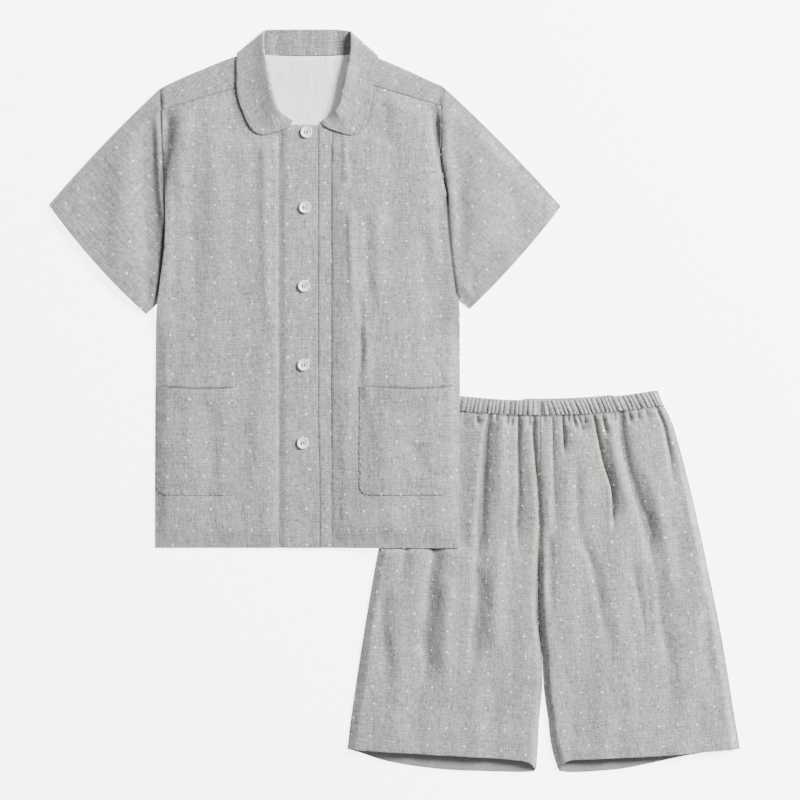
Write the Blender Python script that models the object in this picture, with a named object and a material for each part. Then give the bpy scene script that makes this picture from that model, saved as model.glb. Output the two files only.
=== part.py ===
"""Pyjama set laid flat: a short-sleeved buttoned shirt lying over elastic-waist shorts.

Sizes in the tables are millimetres. The shirt is measured from the middle of its hem, u to the
viewer's right and v up to the collar. The shorts are measured from the middle of the waistband's
lower seam, u to the viewer's right and drop down to the hems. The object rests on z = 0.
"""

import math
from collections import namedtuple

import bmesh
import bpy
from mathutils import Vector

MM = 0.001

# Cloth
WALL = 1.2
GAP = 0.3
LAYER = WALL + GAP
SEAM = 0.8
FLOOR_LEVEL = WALL / 2

# Where the two garments lie
SHIRT_X = -112.8
SHIRT_Y = -191.6
SHORTS_X = 189.7
SHORTS_Y = -18.6

# The shirt's rise over the shorts
LIFT = 5.75
LIFT_RAMP = 70.0
LIFT_MARGIN = 2.0

# Shirt
NOTCH_ROW = 0.573
NECK_SEAM_BACK = 640.4
NECK_SEAM_DIP = 4.4
NECK_CORNER = 68.9
NECK_STRIP_TAPER = 3.9
FLANK = 197.0
FLANK_FADE = 45.0
SHOULDER_FADE_ROW = 590.0
FRONT_PUFF = 1.3
FRONT_CORNER = 64.6
NECK_KNOTS_TOP = 606.0
NECK_SHARE = 0.28
FORWARD_SEAM_ROW = 627.5
FORWARD_SEAM_FALL = 0.3
BAND_LEFT = -36.4
BAND_RIGHT = 15.6
UNDER_BAND_LEFT = -20.0
UNDER_BAND_RIGHT = 31.9
BAND_TOP = 550.5
BAND_FLICK = 0.9
OVERLAP_RISE = 0.25
TUCK_RISE = 1.9
SLEEVE_PUFF = 1.9
ARMPIT_ROW = 455.0
COLLAR_CLEARANCE = 0.15
COLLAR_ROLL_DIP = 0.3

# Buttons
BUTTON_RADIUS = 7.5
BUTTON_THICK = 2.6
BUTTON_SIDES = 24
BUTTON_CLEARANCE = 0.15
BUTTON_SHARP_ANGLE = math.radians(50)
# Share of the radius and of the thickness, from the middle of the top round to that of the base
BUTTON_PROFILE = (
    (0.0, 0.55), (0.55, 0.55), (0.72, 0.75), (0.80, 1.0), (0.94, 0.92), (1.0, 0.55),
    (0.94, 0.12), (0.8, 0.0), (0.0, 0.0),
)

# Shorts
WAIST_HALF = 159.0
WAIST_HALF_TOP = 152.0
BAND_HEIGHT = 18.5
WAIST_SAG = 5.2e-4
RUCHES = 54
RUCHE_STEPS = 4
RUCHE_DEPTH = 0.9
RUCHE_LEAN = 1.6
RUCHE_BULGE = 0.5
FLAT_SPOT = 5.0
WAISTBAND_BACK_STEPS = 16
LEG_PUFF = 1.2
LEG_LENGTH = 450.0
GATHER_PUFF = 1.3

# Colours
CHAMBRAY = (0.47, 0.465, 0.45)
CHAMBRAY_LIGHT = (0.52, 0.515, 0.50)
CHAMBRAY_DARK = (0.42, 0.415, 0.40)
SHELL_WHITE = (0.82, 0.81, 0.80)

# One side of the shirt: the armhole seam and the body's edge, each from low to high, and the
# corners of the sleeve's hem. Distances out from the middle are positive on both sides.
Side = namedtuple(
    "Side", "name sign armhole notch edge shoulder hem_high hem_low hem_bow top_bow collar_dip"
)
SIDES = (
    Side(
        name="right",
        sign=-1,
        armhole=((347, 166.2), (362, 167.9), (400, 175.8), (455, 185.3), (481, 187.5),
                 (515, 189.0), (551, 190.8), (597, 191.5)),
        notch=((0, 198.9), (192, 198.2), (290, 196.8), (313.5, 195.6), (344.2, 164.2)),
        edge=((0, 198.9), (192, 198.2), (290, 197.0), (314.6, 195.4), (342, 192.3),
              (391, 186.0), (430, 185.0), (452, 185.3)),
        shoulder=((68.9, 645.2), (91.7, 638.7), (108.5, 633.1), (141, 620.1), (171, 607.1),
                  (191.5, 597.0)),
        hem_high=(336.0, 445.6),
        hem_low=(210.5, 304.4),
        hem_bow=5.0,
        top_bow=3.0,
        collar_dip=0.0,
    ),
    Side(
        name="left",
        sign=1,
        armhole=((347, 165.2), (362, 166.4), (400, 172.0), (453, 180.5), (480, 177.2),
                 (513, 173.8), (551, 174.2), (599.4, 176.0)),
        notch=((0, 198.4), (192, 198.0), (290, 197.2), (314.5, 194.8), (344.2, 163.2)),
        edge=((0, 198.4), (192, 198.0), (290, 198.0), (322, 196.8), (331.5, 193.2),
              (370, 188.0), (413, 183.4), (450, 180.8)),
        shoulder=((68.9, 645.2), (91.7, 636.2), (99.5, 633.1), (130.6, 620.1), (158, 607.1),
                  (176, 599.4)),
        hem_high=(329.2, 443.6),
        hem_low=(211.5, 311.2),
        hem_bow=3.6,
        top_bow=3.0,
        collar_dip=3.4,
    ),
)

# The front neckline, from the end of the collar up to the shoulder: v and distance out
NECKLINE = ((551.0, 20.0), (555.2, 30.0), (560.5, 39.0), (566.5, 45.5), (575.0, 52.0),
            (586.0, 57.5), (596.0, 61.3), (608.0, 64.8), (626.0, 67.6), (645.0, 68.6))

# The collar across its width, from the front end round to the middle of the back. Each row has
# a point on the neck seam, on the roll and on the outer edge; over is 1 where the fall lies on
# the front and 0 where it lies under the back, and radius is that of the roll.
Rib = namedtuple("Rib", "seam_u seam_v roll_u roll_v edge_u edge_v over radius")
COLLAR = (
    Rib(21.2, 551.6, 19.6, 555.0, 22.5, 548.2, 1.0, 0.80),
    Rib(29.1, 555.0, 26.5, 558.6, 31.0, 544.4, 1.0, 1.00),
    Rib(36.7, 559.4, 32.5, 562.6, 42.0, 540.6, 1.0, 1.30),
    Rib(43.5, 565.0, 37.5, 567.6, 56.0, 537.0, 1.0, 1.60),
    Rib(49.0, 571.6, 41.5, 574.5, 67.5, 540.4, 1.0, 1.75),
    Rib(53.5, 579.0, 44.5, 583.0, 76.5, 550.6, 1.0, 1.75),
    Rib(57.5, 587.4, 46.8, 593.0, 82.6, 564.6, 1.0, 1.75),
    Rib(60.8, 596.0, 49.0, 604.0, 88.6, 579.6, 1.0, 1.75),
    Rib(63.9, 606.5, 51.5, 616.0, 91.5, 595.0, 1.0, 1.70),
    Rib(65.8, 618.0, 54.3, 630.0, 91.8, 611.0, 1.0, 1.50),
    Rib(66.9, 630.0, 57.0, 646.0, 91.8, 626.0, 1.0, 1.30),
    Rib(67.5, 642.0, 57.4, 661.0, 91.6, 637.4, 1.0, 1.10),
    Rib(67.8, 646.6, 57.2, 668.6, 91.8, 641.4, 0.93, 0.90),
    Rib(67.4, 648.4, 56.4, 671.6, 92.2, 642.8, 0.5, 0.80),
    Rib(66.0, 646.6, 55.0, 672.4, 91.6, 641.0, 0.07, 0.75),
    Rib(60.0, 643.4, 52.0, 673.0, 87.0, 633.0, 0.0, 0.75),
    Rib(45.0, 641.4, 43.0, 673.2, 64.0, 628.0, 0.0, 0.75),
    Rib(30.0, 640.8, 30.0, 673.4, 40.0, 629.4, 0.0, 0.75),
    Rib(15.0, 640.5, 15.0, 673.4, 19.0, 631.4, 0.0, 0.75),
)
COLLAR_MIDDLE = Rib(0.0, 640.4, 0.0, 673.4, 0.0, 632.0, 0.0, 0.75)
COLLAR_FALL_SHARES = (0.3, 0.62, 1.0)

# Soft creases of the shirt: from one end to the other, half-width, and rise (less than 0 sinks)
Crease = namedtuple("Crease", "u0 v0 u1 v1 width rise")
RIGHT_FRONT_CREASES = (
    Crease(-176, 575, -175, 430, 7, -1.2),
    Crease(-52, 550, -54, 330, 9, 1.1),
    Crease(-95, 330, -60, 190, 16, 0.8),
)
LEFT_FRONT_CREASES = (
    Crease(162, 572, 168, 430, 7, -1.2),
    Crease(50, 545, 46, 300, 9, 1.2),
    Crease(110, 360, 75, 215, 16, 0.8),
)
RIGHT_SLEEVE_CREASES = (
    Crease(-206, 478, -203, 350, 8, -1.6),
    Crease(-235, 520, -290, 420, 13, 0.9),
)
LEFT_SLEEVE_CREASES = (
    Crease(200, 486, 197, 350, 8, -1.6),
    Crease(225, 522, 285, 420, 13, 0.9),
)

# Patch pockets: left edge, right edge, lower edge, upper edge
Pocket = namedtuple("Pocket", "left right low high")
RIGHT_POCKET = Pocket(-196.4, -91.6, 69.0, 209.0)
LEFT_POCKET = Pocket(67.6, 188.6, 69.0, 209.5)
POCKET_CORNER = 13.0
POCKET_MOUTH_RISE = 0.9
POCKET_MOUTH_FADE = 35.0
POCKET_SAG = 1.6
POCKET_CLEARANCE = 0.12

# Button centres, from the top
Place = namedtuple("Place", "u v")
BUTTONS = (
    Place(-1.4, 540.6),
    Place(-3.3, 442.5),
    Place(-4.6, 340.6),
    Place(-5.2, 237.9),
    Place(-5.9, 136.5),
)

# The shorts' outer edges: drop, and half-width on the viewer's left and right
Flare = namedtuple("Flare", "drop left right")
FLARES = (
    Flare(-13, 160.5, 160.5),
    Flare(1, 167.5, 167.7),
    Flare(9, 171.0, 171.4),
    Flare(17, 174.0, 174.2),
    Flare(48, 182.0, 183.0),
    Flare(79, 189.5, 191.0),
    Flare(110, 196.5, 198.6),
    Flare(188, 212.8, 215.8),
    Flare(292, 230.6, 236.6),
    Flare(396, 246.2, 253.6),
    Flare(434, 250.6, 260.0),
)

# The inner edges, from the waist down: drop, u of the left leg's edge, u of the right leg's edge
Inseam = namedtuple("Inseam", "drop left right")
INSEAMS = (
    Inseam(0, -0.2, 0.2),
    Inseam(204, -2.8, -2.4),
    Inseam(262, -3.3, -1.9),
    Inseam(312, 2.0, 2.6),
    Inseam(350, 3.0, 4.4),
    Inseam(370, 1.3, 6.5),
    Inseam(396, -1.3, 10.4),
    Inseam(422, -2.6, 13.2),
    Inseam(442, -3.8, 17.4),
)

# Hems from the inseam out: u and drop
LEFT_HEM_FRONT = ((-5.0, 462.4), (-14.8, 451.4), (-52, 446.2), (-150, 440.5), (-250.6, 434.4))
RIGHT_HEM_FRONT = ((23.2, 460.4), (35.6, 449.8), (60, 447.2), (150, 442.8), (260, 434.0))
LEFT_HEM_BACK = ((-7.0, 463.6), (-24, 464.8), (-71, 463.6), (-116, 462.0), (-160, 457.4),
                 (-203, 449.6), (-234, 439.6), (-250.6, 434.6))
RIGHT_HEM_BACK = ((25.0, 463.6), (42, 465.0), (78, 463.2), (109, 460.0), (140, 454.0),
                  (190, 443.4), (230, 437.0), (260, 434.4))

# Gathers below the waistband: place along the waist, how far down each runs, and its depth
Gather = namedtuple("Gather", "u length depth")
LEFT_GATHERS = (
    Gather(8, 150, 1.0), Gather(16, 60, 0.6), Gather(28, 120, 1.0), Gather(43, 70, 0.7),
    Gather(58, 80, 0.8), Gather(72, 160, 1.0), Gather(84, 60, 0.7), Gather(96, 70, 0.9),
    Gather(110, 90, 0.8), Gather(124, 60, 0.8), Gather(139, 80, 0.9),
)
RIGHT_GATHERS = (
    Gather(16, 110, 0.8), Gather(29, 130, 1.0), Gather(44, 60, 0.8), Gather(57, 60, 0.7),
    Gather(70, 100, 1.0), Gather(82, 60, 0.7), Gather(97, 70, 0.8), Gather(107, 160, 1.0),
    Gather(118, 60, 0.6), Gather(129, 70, 0.8), Gather(146, 110, 1.0),
)
GATHER_WIDTH = 0.016
LEG_ROWS = (0.0, 0.02, 0.055, 0.10, 0.16, 0.24, 0.34, 0.48, 0.68, 0.88, 1.0)


def smooth(value, low, high):
    """0 at low, 1 at high, and an S between them; low may be the larger."""
    share = min(max((value - low) / (high - low), 0.0), 1.0)
    return share * share * (3.0 - 2.0 * share)


def read(table, key):
    """Second column of a two-column table at a value of its first, in straight steps."""
    for (low, start), (high, end) in zip(table, table[1:]):
        if key <= high:
            share = min(max((key - low) / (high - low), 0.0), 1.0)
            return start + (end - start) * share
    return table[-1][1]


def through(points):
    """A smooth curve through points, as a function of 0 to 1 along its length."""
    knots = [Vector(point) for point in points]
    places = [0.0]
    for start, end in zip(knots, knots[1:]):
        places.append(places[-1] + (end - start).length)
    last = len(knots) - 1

    def slope(index):
        """Direction of the curve at one of its points."""
        before = max(index - 1, 0)
        after = min(index + 1, last)
        return (knots[after] - knots[before]) / (places[after] - places[before])

    def at(share):
        """Point at a share of the curve's length."""
        place = min(max(share, 0.0), 1.0) * places[-1]
        index = 0
        while index < last - 1 and place > places[index + 1]:
            index += 1
        span = places[index + 1] - places[index]
        t = (place - places[index]) / span
        return (
            knots[index] * (1 + 2 * t) * (1 - t) ** 2
            + slope(index) * span * t * (1 - t) ** 2
            + knots[index + 1] * t * t * (3 - 2 * t)
            + slope(index + 1) * span * t * t * (t - 1)
        )

    return at


def straight(start, end):
    """A straight edge as a function of 0 to 1."""
    first = Vector(start)
    second = Vector(end)
    return lambda share: first.lerp(second, share)


def bowed(start, end, bow):
    """An edge that swells by bow to the left of its direction."""
    first = Vector(start)
    second = Vector(end)
    run = second - first
    outward = Vector((-run.y, run.x)).normalized()

    def at(share):
        """Point at a share of the edge."""
        return first.lerp(second, share) + outward * bow * 4 * share * (1 - share)

    return at


def joined(first, second, share):
    """Two edges run one after the other, the first taking this share of the way."""

    def at(place):
        """Point at a share of the whole."""
        if place <= share:
            return first(place / share)
        return second((place - share) / (1 - share))

    return at


def steps(count):
    """Even places from 0 to 1."""
    return [index / count for index in range(count + 1)]


def patch(near, far, low, high, across, up):
    """Rows of points between four edges: near and far run up, low and high run across."""
    rows = []
    for t in up:
        row = []
        for s in across:
            sides = near(t).lerp(far(t), s)
            ends = low(s).lerp(high(s), t)
            corners = low(0).lerp(low(1), s).lerp(high(0).lerp(high(1), s), t)
            row.append(sides + ends - corners)
        rows.append(row)
    return rows


def material(name, colour, roughness):
    """Principled material for cloth or button."""
    dye = bpy.data.materials.new(name)
    dye.use_nodes = True
    shader = dye.node_tree.nodes["Principled BSDF"]
    shader.inputs["Base Color"].default_value = (*colour, 1.0)
    shader.inputs["Roughness"].default_value = roughness
    shader.inputs["Metallic"].default_value = 0.0
    return dye


def cloth(name, rows, colour, ring=False):
    """Join rows of points in millimetres into a sheet and give it the cloth's thickness."""
    shape = bmesh.new()
    grid = [[shape.verts.new(point * MM) if point else None for point in row] for row in rows]
    for low, high in zip(grid, grid[1:]):
        quads = list(zip(low, low[1:], high[1:], high))
        if ring:
            quads.append((low[-1], low[0], high[0], high[-1]))
        for corners in quads:
            if all(corner is not None for corner in corners):
                shape.faces.new(corners)
    for vert in [vert for vert in shape.verts if not vert.link_faces]:
        shape.verts.remove(vert)
    bmesh.ops.recalc_face_normals(shape, faces=shape.faces)
    mesh = bpy.data.meshes.new(name)
    shape.to_mesh(mesh)
    shape.free()
    mesh.shade_smooth()
    piece = bpy.data.objects.new(name, mesh)
    bpy.context.collection.objects.link(piece)
    piece.data.materials.append(material(name + "_cloth", colour, 0.9))
    piece.modifiers.new("Threads", "TRIANGULATE").quad_method = "FIXED"
    wall = piece.modifiers.new("Wall", "SOLIDIFY")
    wall.thickness = WALL * MM
    wall.offset = 0.0
    wall.use_rim = True
    return piece


def shirt_point(u, v, z):
    """A point of the shirt in the object's frame, in millimetres."""
    return Vector((SHIRT_X + u, SHIRT_Y + v, z))


def shorts_point(u, drop, z):
    """A point of the shorts in the object's frame, in millimetres."""
    return Vector((SHORTS_X + u, SHORTS_Y - drop, z))


def waist_drop(u):
    """Drop of the waistband's lower seam, which hangs in a shallow curve."""
    return -WAIST_SAG * u * u


def lift(u, v):
    """Rise of the shirt where it passes over the shorts."""
    x = SHIRT_X + u
    y = SHIRT_Y + v
    left = SHORTS_X - read([(row.drop, row.left) for row in FLARES], SHORTS_Y - y)
    top = SHORTS_Y - waist_drop(WAIST_HALF) + BAND_HEIGHT
    beside = smooth(x, left - LIFT_RAMP, left - LIFT_MARGIN)
    return LIFT * beside * smooth(y, top + LIFT_RAMP, top + LIFT_MARGIN)


def back_level(u, v):
    """Middle of the back's wall: raised where the collar's fall or the shorts lie under it."""
    on_fall = smooth(v, 584.0, 625.0) * smooth(abs(u), 134.0, 93.0)
    return FLOOR_LEVEL + LAYER * on_fall + lift(u, v)


def creased(u, v, creases):
    """Sum of the soft creases at a point, each fading at its ends."""
    rise = 0.0
    for crease in creases:
        run_u = crease.u1 - crease.u0
        run_v = crease.v1 - crease.v0
        length = math.hypot(run_u, run_v)
        along = ((u - crease.u0) * run_u + (v - crease.v0) * run_v) / length**2
        off = ((u - crease.u0) * run_v - (v - crease.v0) * run_u) / length
        ends = smooth(along, 0.0, 0.25) * smooth(along, 1.0, 0.75)
        rise += crease.rise * ends * math.exp(-((off / crease.width) ** 2))
    return rise


def overlap_rise(u, v):
    """Looseness of the upper layers where the shirt passes over the shorts."""
    return OVERLAP_RISE * smooth(lift(u, v), 0.0, 1.0)


def front_level(u, v, side):
    """Middle of a front's wall on one side of the shirt."""
    creases = RIGHT_FRONT_CREASES if side.sign < 0 else LEFT_FRONT_CREASES
    out = u * side.sign
    puff = FRONT_PUFF * smooth(out, FLANK, FLANK - FLANK_FADE) * smooth(v, 0.0, FLANK_FADE)
    puff *= smooth(v, SHOULDER_FADE_ROW, SHOULDER_FADE_ROW - FLANK_FADE) * smooth(out, 30.0, 70.0)
    inside = smooth(out, FLANK, 180.0) * smooth(v, 600.0, 570.0) * smooth(out, 34.0, 42.0)
    soft = max(puff + creased(u, v, creases) * inside, 0.0)
    tuck = smooth(v, 490.0, 455.0) * smooth(v, 262.0, 306.0) * smooth(out, 128.0, 160.0)
    over_band = smooth(out, 84.0, 42.0) if side.sign < 0 else 0.0
    raised = max(TUCK_RISE * tuck, LAYER * over_band) + overlap_rise(u, v)
    return back_level(u, v) + LAYER + soft + raised


def side_curve(side, table, offset=0.0):
    """One of a side's tables as points with u signed and moved out by an offset."""
    return [(side.sign * (out + offset), v) for v, out in table]


def shoulder_v(side, out):
    """Height of the shoulder's fold at a distance out from the middle."""
    return read(side.shoulder, out)


def forward_seam_v(out):
    """Height of the forward shoulder seam at a distance out from the middle."""
    return FORWARD_SEAM_ROW - FORWARD_SEAM_FALL * out


def make_back():
    """Back of the shirt, with the shoulders turned over to the forward seams."""
    right, left = SIDES
    right_end = SEAM - right.armhole[-1][1]
    left_end = left.armhole[-1][1] - SEAM
    width = left_end - right_end
    shoulder_columns = 6
    neck_columns = 6
    body_rows = (0.0, 0.05, 0.11, 0.17, 0.23, 0.29, 0.34, 0.385, 0.43, 0.475, 0.523, NOTCH_ROW,
                 0.63, 0.70, 0.76, 0.81, 0.86, 0.91, 0.94, 0.97, 1.0)

    def flank(side):
        """Edge of the back from the hem to the shoulder, with the notch for the sleeve."""
        table = side.notch + tuple((v, out - SEAM) for v, out in side.armhole[1:])
        heights = ((0.0, 0.0), (NOTCH_ROW, side.notch[-1][0]), (1.0, side.armhole[-1][0]))
        return lambda t: Vector((side.sign * read(table, read(heights, t)), read(heights, t)))

    def top(s):
        """Shoulder fold, neck seam, shoulder fold."""
        u = right_end + width * s
        if abs(u) >= NECK_CORNER - GAP / 2:
            return Vector((u, shoulder_v(right if u < 0 else left, abs(u))))
        return Vector((u, NECK_SEAM_BACK - SEAM + NECK_SEAM_DIP * (abs(u) / NECK_CORNER) ** 3))

    neck_start = (-NECK_CORNER - right_end) / width
    neck_end = (NECK_CORNER - right_end) / width
    across = [neck_start * i / shoulder_columns for i in range(shoulder_columns)]
    across += [neck_start + (neck_end - neck_start) * i / neck_columns for i in range(neck_columns)]
    across += [neck_end + (1 - neck_end) * i / shoulder_columns for i in range(shoulder_columns + 1)]
    low = straight((-right.notch[0][1], 0), (left.notch[0][1], 0))
    flat = patch(flank(right), flank(left), low, top, across, body_rows)
    rows = [[shirt_point(p.x, p.y, back_level(p.x, p.y)) for p in row] for row in flat]
    turned = [[], [], [], []]
    for p in flat[-1]:
        out = abs(p.x)
        if out < NECK_CORNER - GAP / 2:
            for row in turned:
                row.append(None)
            continue
        level = back_level(p.x, p.y)
        side = right if p.x < 0 else left
        top_out = side.armhole[-1][1]
        arm_in = top_out - read(side.armhole, forward_seam_v(top_out))
        near_neck = smooth(out, 90.0, NECK_CORNER)
        near_arm = smooth(out, top_out - 30.0, top_out - SEAM)
        end_out = out - near_neck * NECK_STRIP_TAPER - near_arm * arm_in
        end_u = math.copysign(end_out, p.x)
        seam = forward_seam_v(end_out) + GAP / 2
        turned[0].append(shirt_point(p.x, p.y + LAYER / 2, level + LAYER / 2))
        for row, share in zip(turned[1:], (0.0, 0.5, 1.0)):
            u = p.x + (end_u - p.x) * share
            v = p.y + (seam - p.y) * share
            row.append(shirt_point(u, v, back_level(u, v) + LAYER))
    return cloth("shirt_back", rows + turned, CHAMBRAY_DARK)


def front_rows(side, inner, inner_top):
    """Rows of plan points of one front, from the band's seam out to the side."""
    sign = side.sign
    hem_out = side.edge[0][1]
    top_out = side.armhole[-1][1]
    seam_top = forward_seam_v(top_out) - GAP / 2
    upper = [row for row in side.armhole if ARMPIT_ROW < row[0] < seam_top]
    edge = side.edge + tuple((v, out - SEAM) for v, out in upper)
    edge += ((seam_top, read(side.armhole, seam_top) - SEAM),)

    def flank(t):
        """Side edge and armhole, from the hem up."""
        return Vector((sign * read(edge, t * seam_top), t * seam_top))

    def seam_in(t):
        """Seam with the band, from the hem up."""
        return Vector((sign * inner, t * inner_top))

    corner = Vector((sign * (FRONT_CORNER + SEAM), forward_seam_v(FRONT_CORNER) - GAP / 2))
    lowest = inner_top + 3
    neck_knots = [(sign * inner, inner_top)]
    neck_knots += [(sign * (out + SEAM), v) for v, out in NECKLINE if lowest < v < NECK_KNOTS_TOP]
    neck = through([*neck_knots, corner])
    shoulder = straight(corner, (sign * (edge[-1][1]), seam_top))
    top = joined(neck, shoulder, NECK_SHARE)
    low = straight((sign * inner, 0), (sign * hem_out, 0))
    across = [NECK_SHARE * share for share in steps(4)[:-1]]
    across += [NECK_SHARE + (1 - NECK_SHARE) * share for share in steps(9)]
    up = (0.0, 0.05, 0.115, 0.18, 0.24, 0.30, 0.355, 0.405, 0.455, 0.505, 0.55, 0.60, 0.66,
          0.72, 0.77, 0.81, 0.85, 0.90, 0.95, 1.0)
    return patch(seam_in, flank, low, top, across, up)


def make_front(side):
    """One front of the shirt, from its band out to the side and armhole."""
    inner = -BAND_LEFT + GAP if side.sign < 0 else UNDER_BAND_RIGHT + GAP
    inner_top = band_top(inner)
    flat = front_rows(side, inner, inner_top)
    rows = [[shirt_point(p.x, p.y, front_level(p.x, p.y, side)) for p in row] for row in flat]
    return cloth("shirt_front_" + side.name, rows, CHAMBRAY)


def over_band_level(u, v):
    """Middle of the over band's wall; its free edge lifts a little towards the hem."""
    flick = BAND_FLICK * smooth(v, 170.0, 60.0) * smooth(u, BAND_LEFT + 20, BAND_RIGHT)
    return back_level(u, v) + 2 * LAYER + flick + overlap_rise(u, v)


def under_band_level(u, v):
    """Middle of the under band's wall."""
    return back_level(u, v) + LAYER + overlap_rise(u, v)


def band_top(u):
    """Height of a band's end: level between the collar's leaves, then along the neck seam."""
    rise = read([(out, v) for v, out in NECKLINE], abs(u)) - NECKLINE[0][0]
    return BAND_TOP - SEAM + GAP + rise


def make_band(name, left, right, level):
    """A front band, from the hem up to its end at the neckline."""
    near = straight((left, 0), (left, band_top(left)))
    far = straight((right, 0), (right, band_top(right)))
    low = straight((left, 0), (right, 0))

    def high(s):
        """End of the band at the neckline."""
        u = left + (right - left) * s
        return Vector((u, band_top(u)))

    flat = patch(near, far, low, high, steps(5), steps(20))
    rows = [[shirt_point(p.x, p.y, level(p.x, p.y)) for p in row] for row in flat]
    return cloth(name, rows, CHAMBRAY_LIGHT)


def make_sleeve(side):
    """A short sleeve: one tube of cloth lying flat, open at the armhole and at the hem."""
    sign = side.sign
    creases = RIGHT_SLEEVE_CREASES if sign < 0 else LEFT_SLEEVE_CREASES
    armhole = through([Vector(p) for p in reversed(side_curve(side, side.armhole))])
    top_start = armhole(0)
    low_start = armhole(1)
    hem_high = (sign * side.hem_high[0], side.hem_high[1])
    hem_low = (sign * side.hem_low[0], side.hem_low[1])
    top = bowed(top_start, hem_high, sign * side.top_bow)
    under = straight(low_start, hem_low)
    hem = bowed(hem_high, hem_low, sign * side.hem_bow)
    columns = 11
    lines = steps(columns)
    plan = patch(top, under, armhole, hem, lines, steps(9))
    rings = []
    for index, row in enumerate(plan):
        down = index / (len(plan) - 1)
        front = []
        for share, p in zip(lines, row):
            hollow = math.sin(math.pi * share) ** 0.7 * smooth(down, 0.05, 0.4)
            rise = SLEEVE_PUFF * hollow
            rise += creased(p.x, p.y, creases) * smooth(down, 0.08, 0.2)
            rise *= smooth(share, 0.0, 0.12) * smooth(share, 1.0, 0.88)
            front.append(shirt_point(p.x, p.y, FLOOR_LEVEL + LAYER + max(rise, 0.0)))
        back = [shirt_point(p.x, p.y, FLOOR_LEVEL) for p in row]
        top_out = (row[0] - row[1]).normalized() * LAYER / 2
        low_out = (row[-1] - row[-2]).normalized() * LAYER / 2
        middle = FLOOR_LEVEL + LAYER / 2
        top_tip = shirt_point(row[0].x + top_out.x, row[0].y + top_out.y, middle)
        low_tip = shirt_point(row[-1].x + low_out.x, row[-1].y + low_out.y, middle)
        rings.append([top_tip, *front, low_tip, *reversed(back)])
    return cloth("sleeve_" + side.name, rings, CHAMBRAY, ring=True)


def collar_row(rib, side):
    """Points across the collar at one rib, from the neck seam over the roll to the edge."""
    seam = Vector((rib.seam_u, rib.seam_v))
    roll = Vector((rib.roll_u, rib.roll_v))
    edge = Vector((rib.edge_u, rib.edge_v))
    edge.y -= side.collar_dip * smooth(edge.y, 605.0, 636.0) * smooth(edge.x, 60.0, 90.0)
    roll_dip = COLLAR_ROLL_DIP * side.collar_dip
    roll.y -= roll_dip * smooth(roll.y, 650.0, 672.0) * smooth(roll.x, 30.0, 55.0)
    sign = side.sign
    turn = math.asin(2 * rib.over - 1)
    run = ((seam + edge) / 2 - roll).normalized()
    beside = Vector((-run.y, run.x))

    def front(p):
        """Middle of the cloth that the leaf lies on."""
        return front_level(sign * p.x, p.y, side)

    def back(p):
        """Middle of the back's wall at a point."""
        return back_level(sign * p.x, p.y)

    seam_z = back(seam) + (front(seam) - back(seam)) * rib.over
    centre_z = (back(roll) - rib.radius) * (1 - rib.over)
    centre_z += (front(roll) + rib.radius) * rib.over

    def round_roll(beside_share, up_share, back_share=0.0):
        """A point on the roll's half circle."""
        p = roll + beside * rib.radius * beside_share - run * rib.radius * back_share
        return Vector((sign * p.x, p.y, centre_z + rib.radius * up_share))

    start = round_roll(-math.cos(turn), -math.sin(turn))
    tip = round_roll(0.0, 0.0, 1.0)
    end = round_roll(math.cos(turn), math.sin(turn))
    row = [Vector((sign * seam.x, seam.y, seam_z))]
    row += [row[0].lerp(start, 0.5), start, tip, end]
    first = Vector((end.x * sign, end.y))
    for share in COLLAR_FALL_SHARES:
        p = first.lerp(edge, share)
        spare = (end.z - front(roll) - LAYER) * (1 - share) ** 2
        above = front(p) + LAYER + COLLAR_CLEARANCE + max(spare, 0.0)
        z = FLOOR_LEVEL + (above - FLOOR_LEVEL) * rib.over
        row.append(Vector((sign * p.x, p.y, z)))
    return [shirt_point(p.x, p.y, p.z) for p in row]


def make_collar():
    """Rounded one-piece collar: its leaves on the fronts, its fall under the back."""
    right, left = SIDES
    rows = [collar_row(rib, right) for rib in COLLAR]
    rows.append(collar_row(COLLAR_MIDDLE, right))
    rows += [collar_row(rib, left) for rib in reversed(COLLAR)]
    return cloth("collar", rows, CHAMBRAY_LIGHT)


def make_pocket(pocket, side):
    """A patch pocket with rounded lower corners, made from its front's points, moved out."""
    width = pocket.right - pocket.left
    height = pocket.high - pocket.low
    corner = POCKET_CORNER
    across = [0.0, corner * 0.35, corner]
    across += [corner + (width - 2 * corner) * i / 6 for i in range(1, 6)]
    across += [width - corner, width - corner * 0.35, width]
    up = [0.0, corner * 0.35, corner] + [corner + (height - corner) * i / 7 for i in range(1, 8)]
    rows = []
    for rise in up:
        row = []
        for place in across:
            in_corner = max(corner - min(place, width - place), 0.0)
            low = corner - math.sqrt(max(corner * corner - in_corner * in_corner, 0.0))
            u = pocket.left + place
            v = pocket.low + low + (height - low) * rise / height
            middle = math.sin(math.pi * place / width)
            mouth = POCKET_MOUTH_RISE * smooth(rise, height - POCKET_MOUTH_FADE, height) * middle
            sag = POCKET_SAG * middle * rise / height
            z = front_level(u, v - sag, side) + LAYER + POCKET_CLEARANCE + mouth
            row.append(shirt_point(u, v - sag, z))
        rows.append(row)
    return cloth("pocket_" + side.name, rows, CHAMBRAY)


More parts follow.
